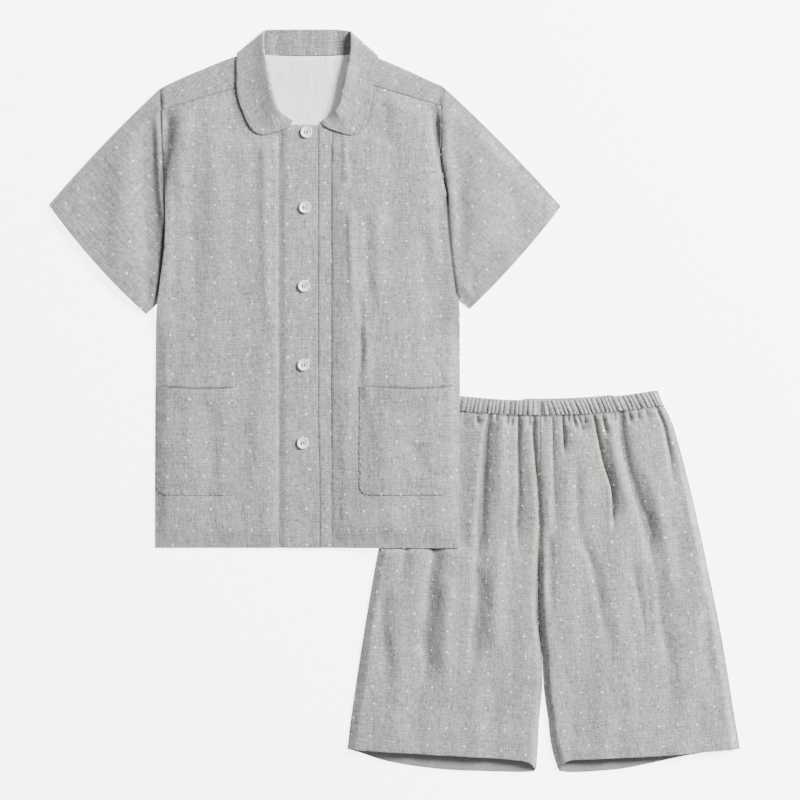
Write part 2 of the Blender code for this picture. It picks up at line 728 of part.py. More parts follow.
def make_button(index, place):
    """A round button with a raised rim and a dished middle, turned from its profile."""
    base = over_band_level(place.u, place.v) + WALL / 2 + GAP + BUTTON_CLEARANCE
    shape = bmesh.new()
    circles = []
    for radius, height in BUTTON_PROFILE:
        z = base + height * BUTTON_THICK
        if radius == 0.0:
            circles.append([shape.verts.new(shirt_point(place.u, place.v, z) * MM)])
            continue
        circle = []
        for step in range(BUTTON_SIDES):
            angle = 2 * math.pi * step / BUTTON_SIDES
            u = place.u + BUTTON_RADIUS * radius * math.cos(angle)
            v = place.v + BUTTON_RADIUS * radius * math.sin(angle)
            circle.append(shape.verts.new(shirt_point(u, v, z) * MM))
        circles.append(circle)
    for inner, outer in zip(circles, circles[1:]):
        for step in range(BUTTON_SIDES):
            after = (step + 1) % BUTTON_SIDES
            if len(inner) == 1:
                shape.faces.new((inner[0], outer[step], outer[after]))
            elif len(outer) == 1:
                shape.faces.new((inner[step], outer[0], inner[after]))
            else:
                shape.faces.new((inner[step], outer[step], outer[after], inner[after]))
    bmesh.ops.recalc_face_normals(shape, faces=shape.faces)
    name = "button_" + str(index)
    mesh = bpy.data.meshes.new(name)
    shape.to_mesh(mesh)
    shape.free()
    mesh.shade_smooth()
    mesh.set_sharp_from_angle(angle=BUTTON_SHARP_ANGLE)
    button = bpy.data.objects.new(name, mesh)
    bpy.context.collection.objects.link(button)
    button.data.materials.append(material(name + "_shell", SHELL_WHITE, 0.3))
    return button


def leg_edges(sign, hem):
    """Plan edges of a leg's panel: inseam, outer edge, waist and hem, each from 0 to 1."""
    inner_knots = [(row.left if sign < 0 else row.right, row.drop) for row in INSEAMS]
    inner_knots.append(hem[0])
    outer_knots = [(sign * (row.left if sign < 0 else row.right), row.drop) for row in FLARES]
    outer_knots[-1] = hem[-1]
    inner_table = [(drop, u) for u, drop in inner_knots]
    outer_table = [(drop, u) for u, drop in outer_knots]
    start = waist_drop(WAIST_HALF) + GAP

    def inner(t):
        """Centre seam and inseam, from the waist down."""
        drop = GAP + (hem[0][1] - GAP) * t
        return Vector((read(inner_table, drop), drop))

    def outer(t):
        """Side of the leg, from the waist down."""
        drop = start + (hem[-1][1] - start) * t
        return Vector((read(outer_table, drop), drop))

    def waist(s):
        """Top of the leg, along the waistband's seam."""
        u = sign * (0.2 + (WAIST_HALF - 0.2) * s)
        return Vector((u, waist_drop(u) + GAP))

    return inner, outer, waist, through(hem)


def gathered(s, fall, gathers):
    """Height left between the gathers at a place along the waist and a drop below it."""
    ridge = 1.0 - 0.75 * smooth(fall, 40.0, 190.0) - 0.25 * smooth(fall, 150.0, 260.0)
    for gather in gathers:
        place = gather.u / WAIST_HALF
        reach = smooth(fall, gather.length, gather.length * 0.35)
        ridge -= gather.depth * reach * math.exp(-(((s - place) / GATHER_WIDTH) ** 2))
    return GATHER_PUFF * max(ridge, 0.0)


def gather_columns(gathers):
    """Columns at each gather and at two places on the ridge between it and the next."""
    places = [0.0] + [gather.u / WAIST_HALF for gather in gathers] + [1.0]
    columns = [0.0]
    for start, end in zip(places, places[1:]):
        columns += [start + (end - start) * share for share in (0.36, 0.64, 1.0)]
    return columns


def make_leg_front(name, sign, hem, gathers):
    """Front panel of one leg, gathered below the waistband."""
    inner, outer, waist, low = leg_edges(sign, hem)
    columns = gather_columns(gathers)
    rows = []
    for t, row in zip(LEG_ROWS, patch(inner, outer, waist, low, columns, LEG_ROWS)):
        line = []
        for s, p in zip(columns, row):
            fall = LEG_LENGTH * t
            puff = LEG_PUFF * math.sin(math.pi * s) ** 0.6 * smooth(fall, 0.0, 90.0)
            rise = puff + gathered(s, fall, gathers)
            rise *= smooth(s, 1.0, 0.94) * smooth(s, 0.0, 0.03)
            line.append(shorts_point(p.x, p.y, FLOOR_LEVEL + LAYER + rise))
        rows.append(line)
    return cloth(name, rows, CHAMBRAY)


def make_leg_back(name, sign, hem):
    """Back panel of one leg, flat on the floor, with its hem showing below the front's."""
    inner, outer, waist, low = leg_edges(sign, hem)
    plan = patch(inner, outer, waist, low, steps(8), (0.0, 0.04, 0.14, 0.3, 0.5, 0.7, 0.85, 1.0))
    rows = [[shorts_point(p.x, p.y, FLOOR_LEVEL) for p in row] for row in plan]
    return cloth(name, rows, CHAMBRAY_DARK)


def ruche(step):
    """Height and place along the waist of one line of the ruched band's front."""
    count = RUCHES * RUCHE_STEPS
    u = -WAIST_HALF + 2 * WAIST_HALF * step / count
    uneven = 0.78 + 0.22 * math.sin(step * 0.37)
    fade = smooth(WAIST_HALF - abs(u), 0.0, 7.0)
    fade *= smooth(abs(u + 1.3), FLAT_SPOT - 2.0, FLAT_SPOT + 3.0)
    wave = math.cos(2 * math.pi * step / RUCHE_STEPS) * RUCHE_DEPTH * uneven
    shift = 0.45 * math.sin(step * 0.91) * fade
    return u + shift, wave * fade, fade


def make_waistband():
    """Elastic waistband: a ring of cloth lying flat, ruched across its front."""
    shares = (0.0, 0.5, 1.0)
    rings = []

    def line(u, z, bulge, lean=0.0):
        """Points from the lower seam to the top edge at one place along the waist."""
        points = []
        for share in shares:
            taper = 1.0 + (WAIST_HALF_TOP / WAIST_HALF - 1.0) * share
            drop = waist_drop(u) - GAP / 2 - BAND_HEIGHT * share
            rise = z + bulge * 4 * share * (1 - share)
            points.append(shorts_point(u * taper + lean * share, drop, rise))
        return points

    for step in range(RUCHES * RUCHE_STEPS + 1):
        u, wave, fade = ruche(step)
        lean = -RUCHE_LEAN * smooth(u, 0.0, 40.0) * fade
        level = FLOOR_LEVEL + LAYER + RUCHE_DEPTH * fade + wave
        rings.append(line(u, level, RUCHE_BULGE * fade, lean))
    tip = WAIST_HALF + LAYER / 2
    rings.append(line(tip, FLOOR_LEVEL + LAYER / 2, 0.0))
    for share in steps(WAISTBAND_BACK_STEPS):
        rings.append(line(WAIST_HALF - 2 * WAIST_HALF * share, FLOOR_LEVEL, 0.0))
    rings.append(line(-tip, FLOOR_LEVEL + LAYER / 2, 0.0))
    return cloth("waistband", [*rings, rings[0]], CHAMBRAY_LIGHT)


def clear_scene():
    """Remove whatever the scene holds."""
    for leftover in list(bpy.data.objects):
        bpy.data.objects.remove(leftover, do_unlink=True)


def main():
    """Build the shirt and the shorts."""
    clear_scene()
    right, left = SIDES
    make_back()
    make_front(right)
    make_front(left)
    make_band("band_over", BAND_LEFT, BAND_RIGHT, over_band_level)
    make_band("band_under", UNDER_BAND_LEFT, UNDER_BAND_RIGHT, under_band_level)
    make_sleeve(right)
    make_sleeve(left)
    make_collar()
    make_pocket(RIGHT_POCKET, right)
    make_pocket(LEFT_POCKET, left)
    for index, place in enumerate(BUTTONS, start=1):
        make_button(index, place)
    make_leg_front("shorts_front_right", -1, LEFT_HEM_FRONT, LEFT_GATHERS)
    make_leg_front("shorts_front_left", 1, RIGHT_HEM_FRONT, RIGHT_GATHERS)
    make_leg_back("shorts_back_right", -1, LEFT_HEM_BACK)
    make_leg_back("shorts_back_left", 1, RIGHT_HEM_BACK)
    make_waistband()


main()
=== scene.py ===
"""Looks of a pyjama set laid flat: a buttoned gauze shirt lying over gathered shorts.

Sizes in the tables are millimetres. The shirt is measured from the middle of its hem, u to the
viewer's right and v up to the collar. The shorts are measured from the middle of the waistband's
lower seam, u to the viewer's right and drop down to the hems. The set rests on z = 0.
"""

import logging
import math
from dataclasses import dataclass
from enum import Enum
from typing import Callable, NamedTuple, Sequence

import bpy
import numpy as np
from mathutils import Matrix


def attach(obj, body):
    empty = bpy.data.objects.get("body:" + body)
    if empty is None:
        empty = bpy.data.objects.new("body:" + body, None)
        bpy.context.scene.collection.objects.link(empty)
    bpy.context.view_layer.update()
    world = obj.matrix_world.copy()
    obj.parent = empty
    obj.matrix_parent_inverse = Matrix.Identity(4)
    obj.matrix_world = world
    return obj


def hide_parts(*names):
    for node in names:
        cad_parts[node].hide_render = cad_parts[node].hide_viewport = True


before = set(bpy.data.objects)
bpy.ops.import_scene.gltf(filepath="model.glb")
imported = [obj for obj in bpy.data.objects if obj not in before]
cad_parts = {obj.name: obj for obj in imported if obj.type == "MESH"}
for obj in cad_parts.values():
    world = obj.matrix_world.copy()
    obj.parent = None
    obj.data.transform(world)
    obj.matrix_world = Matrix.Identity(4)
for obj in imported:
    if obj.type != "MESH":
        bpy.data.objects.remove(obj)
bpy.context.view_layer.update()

log = logging.getLogger("pyjamas")

MM = 0.001
BODY = "root"
Edge = Callable[[np.ndarray], np.ndarray]
Table = Sequence[tuple[float, float]]
Places = np.ndarray | float
Height = Callable[[Places, Places], Places]
Colour = tuple[float, float, float]


class Outside(Enum):
    """Which way the outer side of a sheet faces in its first columns."""

    UP = 1
    DOWN = -1


class Held(Enum):
    """How a sheet of cloth is held."""

    LAID = "laid"
    GATHERED = "gathered"
    FOLDED = "folded"


# Distances of the first columns from a seam, where the cloth turns most
SEAM_SPACING = np.array((0.0, 0.45, 1.0, 1.7, 2.6, 3.8))


# Small curves and steps


def smooth(value: Places, low: Places, high: Places) -> Places:
    """0 at low, 1 at high, and an S between them; low may be the larger."""
    share = np.clip((np.asarray(value) - low) / (high - low), 0.0, 1.0)
    return share * share * (3.0 - 2.0 * share)


def bell(distance: Places, width: Places) -> Places:
    """1 at no distance, falling away softly over a width."""
    return np.exp(-((distance / width) ** 2))


def hermite(places: np.ndarray, knots: np.ndarray, place: np.ndarray) -> np.ndarray:
    """Read a smooth curve that passes through knots.

    Args:
        places: Where each knot lies along the curve, from low to high.
        knots: One value or one row of values for each place.
        place: The places to read.

    Returns:
        The curve's value at each place, with the ends held beyond them.
    """
    last = len(knots) - 1
    after = np.minimum(np.arange(last + 1) + 1, last)
    before = np.maximum(np.arange(last + 1) - 1, 0)
    shape = (-1,) + (1,) * (knots.ndim - 1)
    slopes = (knots[after] - knots[before]) / (places[after] - places[before]).reshape(shape)
    held = np.clip(place, places[0], places[-1])
    index = np.clip(np.searchsorted(places, held, side="right") - 1, 0, last - 1)
    extra = (1,) * (knots.ndim - 1)
    span = (places[index + 1] - places[index]).reshape(index.shape + extra)
    t = (held - places[index]).reshape(index.shape + extra) / span
    return (
        knots[index] * (1 + 2 * t) * (1 - t) ** 2
        + slopes[index] * span * t * (1 - t) ** 2
        + knots[index + 1] * t * t * (3 - 2 * t)
        + slopes[index + 1] * span * t * t * (t - 1)
    )


def read(table: Table, key: Places) -> np.ndarray:
    """Second column of a table at values of its first, in straight steps."""
    keys, values = zip(*table)
    return np.interp(key, keys, values)


def eased(table: Table, key: Places) -> np.ndarray:
    """Second column of a table at values of its first, along a smooth curve."""
    keys, values = zip(*table)
    return hermite(np.array(keys, float), np.array(values, float), np.asarray(key, float))


def straight(start: Sequence[float], end: Sequence[float]) -> Edge:
    """A straight edge as a function of shares from 0 to 1."""
    return lambda share: np.array(start) + share[:, None] * np.subtract(end, start)


def bowed(start: Sequence[float], end: Sequence[float], bow: float) -> Edge:
    """An edge that swells by bow to the left of its direction.

    Args:
        start: Where the edge starts.
        end: Where it ends.
        bow: How far its middle swells.

    Returns:
        The edge.
    """
    run = np.subtract(end, start)
    beside = np.array((-run[1], run[0])) / np.linalg.norm(run)
    level = straight(start, end)
    return lambda share: level(share) + beside * (bow * 4 * share * (1 - share))[:, None]


def through(points: Sequence[Sequence[float]]) -> Edge:
    """A smooth edge through points, read by the share of its length.

    Args:
        points: The points, in order.

    Returns:
        The edge.
    """
    knots = np.array(points, float)
    lengths = np.linalg.norm(np.diff(knots, axis=0), axis=1)
    places = np.concatenate(([0.0], np.cumsum(lengths)))
    return lambda share: hermite(places, knots, share * places[-1])


def joined(first: Edge, second: Edge, part: float) -> Edge:
    """Two edges run one after the other, the first taking this part of the way.

    Args:
        first: The edge that comes first.
        second: The edge that follows.
        part: Share of the way where they meet.

    Returns:
        The edge.
    """

    def at(share: np.ndarray) -> np.ndarray:
        """Points at shares of the whole."""
        early = first(np.clip(share / part, 0, 1))
        late = second(np.clip((share - part) / (1 - part), 0, 1))
        return np.where((share <= part)[:, None], early, late)

    return at


def patch(near: Edge, far: Edge, low: Edge, high: Edge, across: np.ndarray,
          up: np.ndarray) -> np.ndarray:
    """Fill four edges with rows of plan points.

    Args:
        near: Edge at the start of each row, read upwards.
        far: Edge at the end of each row, read upwards.
        low: First row.
        high: Last row.
        across: Shares of the way along a row.
        up: Shares of the way up.

    Returns:
        Plan points, by row and column.
    """
    t = up[:, None, None]
    s = across[None, :, None]
    ends = np.array((0.0, 1.0))
    sides = near(up)[:, None] * (1 - s) + far(up)[:, None] * s
    rims = low(across)[None] * (1 - t) + high(across)[None] * t
    low_ends, high_ends = low(ends), high(ends)
    corners = (low_ends[0] * (1 - s) + low_ends[1] * s) * (1 - t)
    corners = corners + (high_ends[0] * (1 - s) + high_ends[1] * s) * t
    return sides + rims - corners


class Wave(NamedTuple):
    """One long ripple: waves for each millimetre across and along, its start and height."""

    across: float
    along: float
    start: float
    height: float


def rippled(u: np.ndarray, v: np.ndarray, waves: Sequence[Wave]) -> np.ndarray:
    """Sum of long ripples, which never goes below 0.

    Args:
        u: Places across the shirt.
        v: Places up from its hem.
        waves: The ripples.

    Returns:
        Rise of the cloth in millimetres.
    """
    phases = [u * wave.across + v * wave.along + wave.start for wave in waves]
    total = sum(wave.height * np.sin(phase) for wave, phase in zip(waves, phases))
    return total + sum(wave.height for wave in waves)


class Fold(NamedTuple):
    """A soft ridge, or a trough where rise is below 0, along a path of (key, centre) knots."""

    path: Table
    rise: float
    width: float
    spread: float = 1.0
    fade_in: float = 0.2
    fade_out: float = 0.3
    lean: float = 1.0
    crisp: bool = False


def relief(u: np.ndarray, key: np.ndarray, folds: Sequence[Fold]) -> np.ndarray:
    """Sum of the folds at plan points, each fading at its ends.

    Args:
        u: Places across the cloth.
        key: Places along it, on the same scale as the first column of each path.
        folds: The folds.

    Returns:
        Rise of the cloth in millimetres.
    """
    total = np.zeros(np.broadcast_shapes(np.shape(u), np.shape(key)))
    for fold in folds:
        first, last = fold.path[0][0], fold.path[-1][0]
        along = (key - first) / (last - first)
        path = sorted(fold.path)
        off = u - eased(path, key)
        width = fold.width * (1 + (fold.spread - 1) * np.clip(along, 0, 1))
        width = np.where(off < 0, width * fold.lean, width / fold.lean)
        ends = smooth(along, 0, fold.fade_in) * smooth(along, 1, 1.0 - fold.fade_out)
        shape = bell(off, width)
        if fold.crisp:
            shape = np.where(off > 0, np.exp(-np.maximum(off, 0) / (0.85 * width)), shape)
        total = total + fold.rise * ends * shape
    return total


def settled(rise: np.ndarray) -> np.ndarray:
    """A rise that eases towards 0 where it would go below it."""
    return np.where(rise > 0.4, rise, 0.4 * np.exp(np.minimum(rise - 0.4, 0.0) / 0.4))


def spaced(length: float, pitch: float, start: bool = True, end: bool = True) -> np.ndarray:
    """Shares along a length at a pitch, closer together at the ends that are seams.

    Args:
        length: The whole length.
        pitch: Distance between places in the middle.
        start: Whether the start is a seam.
        end: Whether the end is a seam.

    Returns:
        Shares from 0 to 1.
    """
    first = SEAM_SPACING if start else SEAM_SPACING[:1]
    last = length - (SEAM_SPACING if end else SEAM_SPACING[:1])[::-1]
    middle = np.linspace(first[-1], last[0], max(2, round((last[0] - first[-1]) / pitch) + 1))
    return np.concatenate((first[:-1], middle, last[1:])) / length


# Shader maths


class Value:
    """A node's number output that adds Math nodes when it is used in an expression."""

    def __init__(self, nodes: "Nodes", socket: bpy.types.NodeSocket) -> None:
        """Wrap one output socket."""
        self.nodes = nodes
        self.socket = socket

    def math(self, operation: str, *others: "Value | float") -> "Value":
        """Apply a Math node to this value and others."""
        inputs = {0: self, **{place: other for place, other in enumerate(others, start=1)}}
        return self.nodes.add("ShaderNodeMath", inputs, operation=operation)

    def __add__(self, other: "Value | float") -> "Value":
        """Sum."""
        return self.math("ADD", other)

    __radd__ = __add__

    def __mul__(self, other: "Value | float") -> "Value":
        """Product."""
        return self.math("MULTIPLY", other)

    __rmul__ = __mul__

    def __sub__(self, other: "Value | float") -> "Value":
        """Difference."""
        return self.math("SUBTRACT", other)

    def __rsub__(self, other: "Value | float") -> "Value":
        """Difference with this value taken away."""
        return self.math("MULTIPLY", -1.0).math("ADD", other)

    def __truediv__(self, other: float) -> "Value":
        """Quotient by a number."""
        return self.math("MULTIPLY", 1.0 / other)

    def clamped(self) -> "Value":
        """This value held between 0 and 1."""
        return self.math("MAXIMUM", 0.0).math("MINIMUM", 1.0)

    def step(self, low: float, high: float) -> "Value":
        """0 at low, 1 at high and an S between them; low may be the larger."""
        share = ((self - low) / (high - low)).clamped()
        return share * share * (3.0 - 2.0 * share)


class Nodes:
    """The node tree of one material."""

    def __init__(self, name: str) -> None:
        """Start a material with a Principled shader.

        Args:
            name: The material's name.
        """
        self.material = bpy.data.materials.new(name)
        self.material.use_nodes = True
        self.tree = self.material.node_tree
        self.shader = self.tree.nodes["Principled BSDF"]

    def add(self, kind: str, inputs: dict, output: int | str = 0, **settings: object) -> Value:
        """Add a node.

        Args:
            kind: The node's type.
            inputs: Values or links of its sockets, by name or place.
            output: The output to hand back, by name or place.
            **settings: The node's own settings, set before its sockets.

        Returns:
            The chosen output.
        """
        node = self.tree.nodes.new(kind)
        for key, setting in settings.items():
            setattr(node, key, setting)
        for key, value in inputs.items():
            self.plug(node.inputs[key], value)
        return Value(self, node.outputs[output])

    def plug(self, socket: bpy.types.NodeSocket, value: object) -> None:
        """Link a value to a socket, or set the socket to a constant.

        Args:
            socket: The socket to feed.
            value: A value, a colour or a number.
        """
        if isinstance(value, Value):
            self.tree.links.new(value.socket, socket)
        else:
            socket.default_value = value

    def noise(self, vector: Value, scale: float, detail: float = 2.0,
              roughness: float = 0.5) -> Value:
        """A flat noise from 0 to 1."""
        inputs = {"Vector": vector, "Scale": scale, "Detail": detail, "Roughness": roughness}
        return self.add("ShaderNodeTexNoise", inputs, noise_dimensions="2D")

    def stretched(self, vector: Value, across: float, along: float) -> Value:
        """A vector with its first two parts scaled."""
        return self.vector("MULTIPLY", vector, (across, along, 1.0))

    def vector(self, operation: str, *parts: object) -> Value:
        """Apply a Vector Math node to vectors."""
        return self.add("ShaderNodeVectorMath", dict(enumerate(parts)), operation=operation)

    def part(self, vector: Value, axis: str) -> Value:
        """One part of a vector."""
        return self.add("ShaderNodeSeparateXYZ", {0: vector}, output=axis)

    def painted(self, attribute: str) -> Value:
        """A number painted on the mesh."""
        return self.add("ShaderNodeAttribute", {}, output="Fac", attribute_name=attribute)

    def blend(self, factor: Value, first: object, second: object) -> Value:
        """A colour between two others."""
        inputs = {"Factor": factor, 6: first, 7: second}
        return self.add("ShaderNodeMix", inputs, output=2, data_type="RGBA")

    def finish(self, colour: object, roughness: Value | float, height: Value | None = None,
               depth: float = 0.0) -> None:
        """Feed the shader with its colour, roughness and relief.

        Args:
            colour: Base colour.
            roughness: Roughness.
            height: Height of the relief from 0 to about 1, or nothing.
            depth: What a height of 1 stands for, in metres.
        """
        self.plug(self.shader.inputs["Base Color"], colour)
        self.plug(self.shader.inputs["Roughness"], roughness)
        if height is not None:
            inputs = {"Strength": 1.0, "Distance": depth, "Height": height}
            self.plug(self.shader.inputs["Normal"], self.add("ShaderNodeBump", inputs))


@dataclass(frozen=True)
class Gauze:
    """Double gauze read on its own cut: crossing uneven threads and small woven dots."""

    name: str
    dark: Colour
    light: Colour
    dot: Colour
    dots: float
    contrast: float
    hem: Colour | None = None
    # Near-black colour of the painted shade, which darkens the cloth in gaps, seams and troughs
    painted_shade: Colour = (0.012, 0.012, 0.012)
    pitch_across: float = 25.0
    pitch_along: float = 24.8
    dot_radius: float = 1.9
    thread: float = 0.62
    sheen: float = 0.12

    def make(self) -> bpy.types.Material:
        """Build the material from uneven threads, clouds, dots, the grey of turned-in cloth and
        painted shade.

        Returns:
            The material.
        """
        nodes = Nodes(self.name)
        cut = nodes.add("ShaderNodeUVMap", {}, uv_map="cut")
        millimetres = nodes.stretched(cut, 1.0 / MM, 1.0 / MM)

        def streaks(across: float, along: float, detail: float, roughness: float) -> Value:
            """Noise with this many cells for each millimetre across and along."""
            cells = nodes.stretched(millimetres, across, along)
            return nodes.noise(cells, 1.0, detail, roughness)

        weft = streaks(0.17, 0.85, 2.0, 0.6)
        warp = streaks(0.88, 0.15, 2.0, 0.6)
        long_weft = streaks(0.035, 0.5, 1.0, 0.5)
        long_warp = streaks(0.52, 0.03, 1.0, 0.5)
        puckered = streaks(0.10, 0.05, 2.0, 0.5)
        cloud = nodes.noise(millimetres, 0.035, 2.0, 0.55)
        hue = nodes.noise(millimetres, 0.011, 1.0, 0.5)
        mottle = nodes.noise(millimetres, 0.8, 2.0, 0.6)
        tone = 0.42 * weft + 0.42 * warp + 0.2 * long_weft + 0.2 * long_warp
        tone = tone + 0.12 * cloud + 0.2 * mottle - 0.28
        share = ((tone - 0.5) * self.contrast + 0.5).clamped()
        red, green, blue = self.light
        warm = (red, 0.985 * green, 0.985 * blue, 1.0)
        cool = (0.985 * red, green, 0.96 * blue, 1.0)
        colour = nodes.blend(share, (*self.dark, 1.0), nodes.blend(hue.step(0.35, 0.65), warm, cool))
        dots = self.dot_mask(nodes, millimetres) * self.dots
        colour = nodes.blend(dots, colour, (*self.dot, 1.0))
        if self.hem is not None:
            colour = nodes.blend(nodes.painted("hem"), colour, (*self.hem, 1.0))
        # Painted shade: the shade mark on the mesh darkens the colour towards near black
        colour = nodes.blend(nodes.painted("shade") * 0.9, colour, (*self.painted_shade, 1.0))
        height = 0.3 * weft + 0.3 * warp + 0.12 * self.weave(nodes, millimetres) + 0.2 * mottle
        height = height + 1.6 * puckered + 0.3 * dots
        nodes.finish(colour, 0.94, height, 0.6 * MM)
        nodes.shader.inputs["Sheen Weight"].default_value = self.sheen
        nodes.shader.inputs["Sheen Roughness"].default_value = 0.5
        nodes.shader.inputs["Specular IOR Level"].default_value = 0.25
        return nodes.material

    def weave(self, nodes: Nodes, millimetres: Value) -> Value:
        """Over-and-under threads as a number from 0 to 1.

        Args:
            nodes: The material's nodes.
            millimetres: Places on the cut.

        Returns:
            1 where both threads are up or both down, 0 where they differ.
        """
        turn = math.pi / self.thread
        pair = [nodes.part(millimetres, axis).math("MULTIPLY", turn).math("SINE") for axis in "XY"]
        return pair[0] * pair[1] * 0.5 + 0.5

    def wander(self, nodes: Nodes, millimetres: Value, scale: float, reach: float) -> Value:
        """A shift by up to a reach in millimetres, drifting at a noise scale.

        Args:
            nodes: The material's nodes.
            millimetres: Places on the cut.
            scale: Cells of the noise for each millimetre.
            reach: The longest shift.

        Returns:
            The shift as a vector.
        """
        inputs = {"Vector": millimetres, "Scale": scale, "Detail": 1.0}
        drift = nodes.add("ShaderNodeTexNoise", inputs, output="Color", noise_dimensions="2D")
        return nodes.vector("MULTIPLY", drift, (reach, reach, 0.0))

    def dot_mask(self, nodes: Nodes, millimetres: Value) -> Value:
        """Small woven dots on a drifting rectangular grid, some fainter than others.

        Args:
            nodes: The material's nodes.
            millimetres: Places on the cut.

        Returns:
            1 in a bright dot, 0 between the dots.
        """
        place = nodes.vector("ADD", millimetres, self.wander(nodes, millimetres, 0.013, 22.0))
        place = nodes.vector("ADD", place, self.wander(nodes, millimetres, 0.8, 1.3))
        cells = nodes.stretched(place, 1.0 / self.pitch_across, 1.0 / self.pitch_along)
        cell = nodes.vector("FLOOR", cells)
        bright = nodes.add("ShaderNodeTexWhiteNoise", {"Vector": cell}, noise_dimensions="2D")
        inside = nodes.vector("FRACTION", cells)
        across = (nodes.part(inside, "X") - 0.5) * self.pitch_across
        along = (nodes.part(inside, "Y") - 0.5) * self.pitch_along
        distance = (across * across + along * along).math("SQRT")
        return distance.step(self.dot_radius, 0.35 * self.dot_radius) * (0.45 + 0.55 * bright)


@dataclass(frozen=True)
class Shell:
    """Pale moulded shell of a shirt button."""

    name: str = "button_shell"
    colour: Colour = (0.97, 0.965, 0.96)
    shade: Colour = (0.88, 0.875, 0.87)

    def make(self) -> bpy.types.Material:
        """Build the material.

        Returns:
            The material.
        """
        nodes = Nodes(self.name)
        place = nodes.add("ShaderNodeTexCoord", {}, output="Object")
        veins = nodes.add("ShaderNodeTexNoise", {"Vector": place, "Scale": 260.0, "Detail": 3.0})
        colour = nodes.blend(veins.step(0.35, 0.75), (*self.shade, 1.0), (*self.colour, 1.0))
        nodes.finish(colour, 0.22 + 0.2 * veins, veins, 0.02 * MM)
        nodes.shader.inputs["Coat Weight"].default_value = 0.4
        nodes.shader.inputs["Coat Roughness"].default_value = 0.15
        return nodes.material


@dataclass(frozen=True)
class Yarn:
    """Sewing thread: a matt twisted strand."""

    name: str
    colour: Colour

    def make(self) -> bpy.types.Material:
        """Build the material.

        Returns:
            The material.
        """
        nodes = Nodes(self.name)
        place = nodes.add("ShaderNodeTexCoord", {}, output="Object")
        twist = nodes.add("ShaderNodeTexNoise", {"Vector": place, "Scale": 2600.0, "Detail": 1.0})
        darker = tuple(0.75 * part for part in self.colour)
        colour = nodes.blend(twist, (*darker, 1.0), (*self.colour, 1.0))
        nodes.finish(colour, 0.7, twist, 0.05 * MM)
        return nodes.material


@dataclass
class Sewing:
    """Rows of small raised stitches."""

    thread: bpy.types.Material
    pitch: float = 3.2
    length: float = 2.2
    width: float = 0.55
    height: float = 0.36
    shoulder: float = 0.55
    sunk: float = 0.1

    def shape(self) -> tuple[list[tuple[float, float, float]], list[tuple[int, ...]]]:
        """One stitch: ten corners and twelve faces, with its ends sunk into the cloth.

        Returns:
            Corners in millimetres and the faces between them.
        """
        around = ((1.0, 0.0), (0.0, 1.0), (-1.0, 0.0), (0.0, -1.0))
        half = self.length / 2
        corners = [(along * half, side * self.width / 2, up * self.height)
                   for along in (-self.shoulder, self.shoulder) for side, up in around]
        corners = [(-half, 0, -self.sunk), *corners, (half, 0, -self.sunk)]
        faces = [(0, 1 + (k + 1) % 4, 1 + k) for k in range(4)]
        faces += [(1 + k, 1 + (k + 1) % 4, 5 + (k + 1) % 4, 5 + k) for k in range(4)]
        faces += [(9, 5 + k, 5 + (k + 1) % 4) for k in range(4)]
        return corners, faces

    def sew(self, node: str, lines: Sequence[np.ndarray]) -> bpy.types.Object:
        """Lay stitches along lines of points.

        Args:
            node: The node that the stitches are sewn to, for their name.
            lines: Points in millimetres, one array for each row of stitches.

        Returns:
            One piece with every stitch.
        """
        shape, faces = self.shape()
        points, corners = [], []
        for line in lines:
            run = np.concatenate(([0.0], np.cumsum(np.linalg.norm(np.diff(line, axis=0), axis=1))))
            places = np.arange(self.pitch, run[-1] - self.pitch / 2, self.pitch)
            middle = np.stack([np.interp(places, run, line[:, axis]) for axis in range(3)], axis=1)
            ahead = np.stack([np.interp(places + 1, run, line[:, axis]) for axis in range(3)], axis=1)
            for place, tip in zip(middle, ahead):
                forward = (tip - place) / max(np.linalg.norm(tip - place), 1e-6)
                beside = np.cross((0, 0, 1), forward)
                beside = beside / np.linalg.norm(beside)
                above = np.cross(forward, beside)
                first = len(points)
                points += [place + along * forward + side * beside + up * above
                           for along, side, up in shape]
                corners += [[first + corner for corner in face] for face in faces]
        mesh = bpy.data.meshes.new(node + "_stitches")
        mesh.from_pydata((np.array(points) * MM).tolist(), [], corners)
        mesh.shade_smooth()
        mesh.materials.append(self.thread)
        piece = bpy.data.objects.new(node + "_stitches", mesh)
        bpy.context.collection.objects.link(piece)
        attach(piece, BODY)
        log.info("%s: %d stitches", piece.name, len(points) // len(shape))
        return piece


@dataclass
class Finishes:
    """The materials of the set, each made once."""

    outer: bpy.types.Material
    inner: bpy.types.Material
    shell: bpy.types.Material
    button_thread: bpy.types.Material
    sewing: Sewing

    @classmethod
    def make(cls) -> "Finishes":
        """Make every finish.

        Returns:
            Every finish of the set.
        """
        chambray = Gauze(
            name="chambray_gauze",
            dark=(0.125, 0.125, 0.123),
            light=(0.455, 0.455, 0.447),
            dot=(0.97, 0.97, 0.96),
            dots=0.88,
            contrast=2.6,
        )
        white = Gauze(
            name="white_gauze",
            dark=(0.84, 0.835, 0.825),
            light=(0.97, 0.965, 0.955),
            dot=(0.97, 0.965, 0.955),
            dots=0.0,
            contrast=2.0,
            hem=(0.34, 0.34, 0.33),
        )
        return cls(
            outer=chambray.make(),
            inner=white.make(),
            shell=Shell().make(),
            button_thread=Yarn("button_thread", (0.13, 0.13, 0.128)).make(),
            sewing=Sewing(Yarn("sewing_thread", (0.36, 0.36, 0.35)).make()),
        )


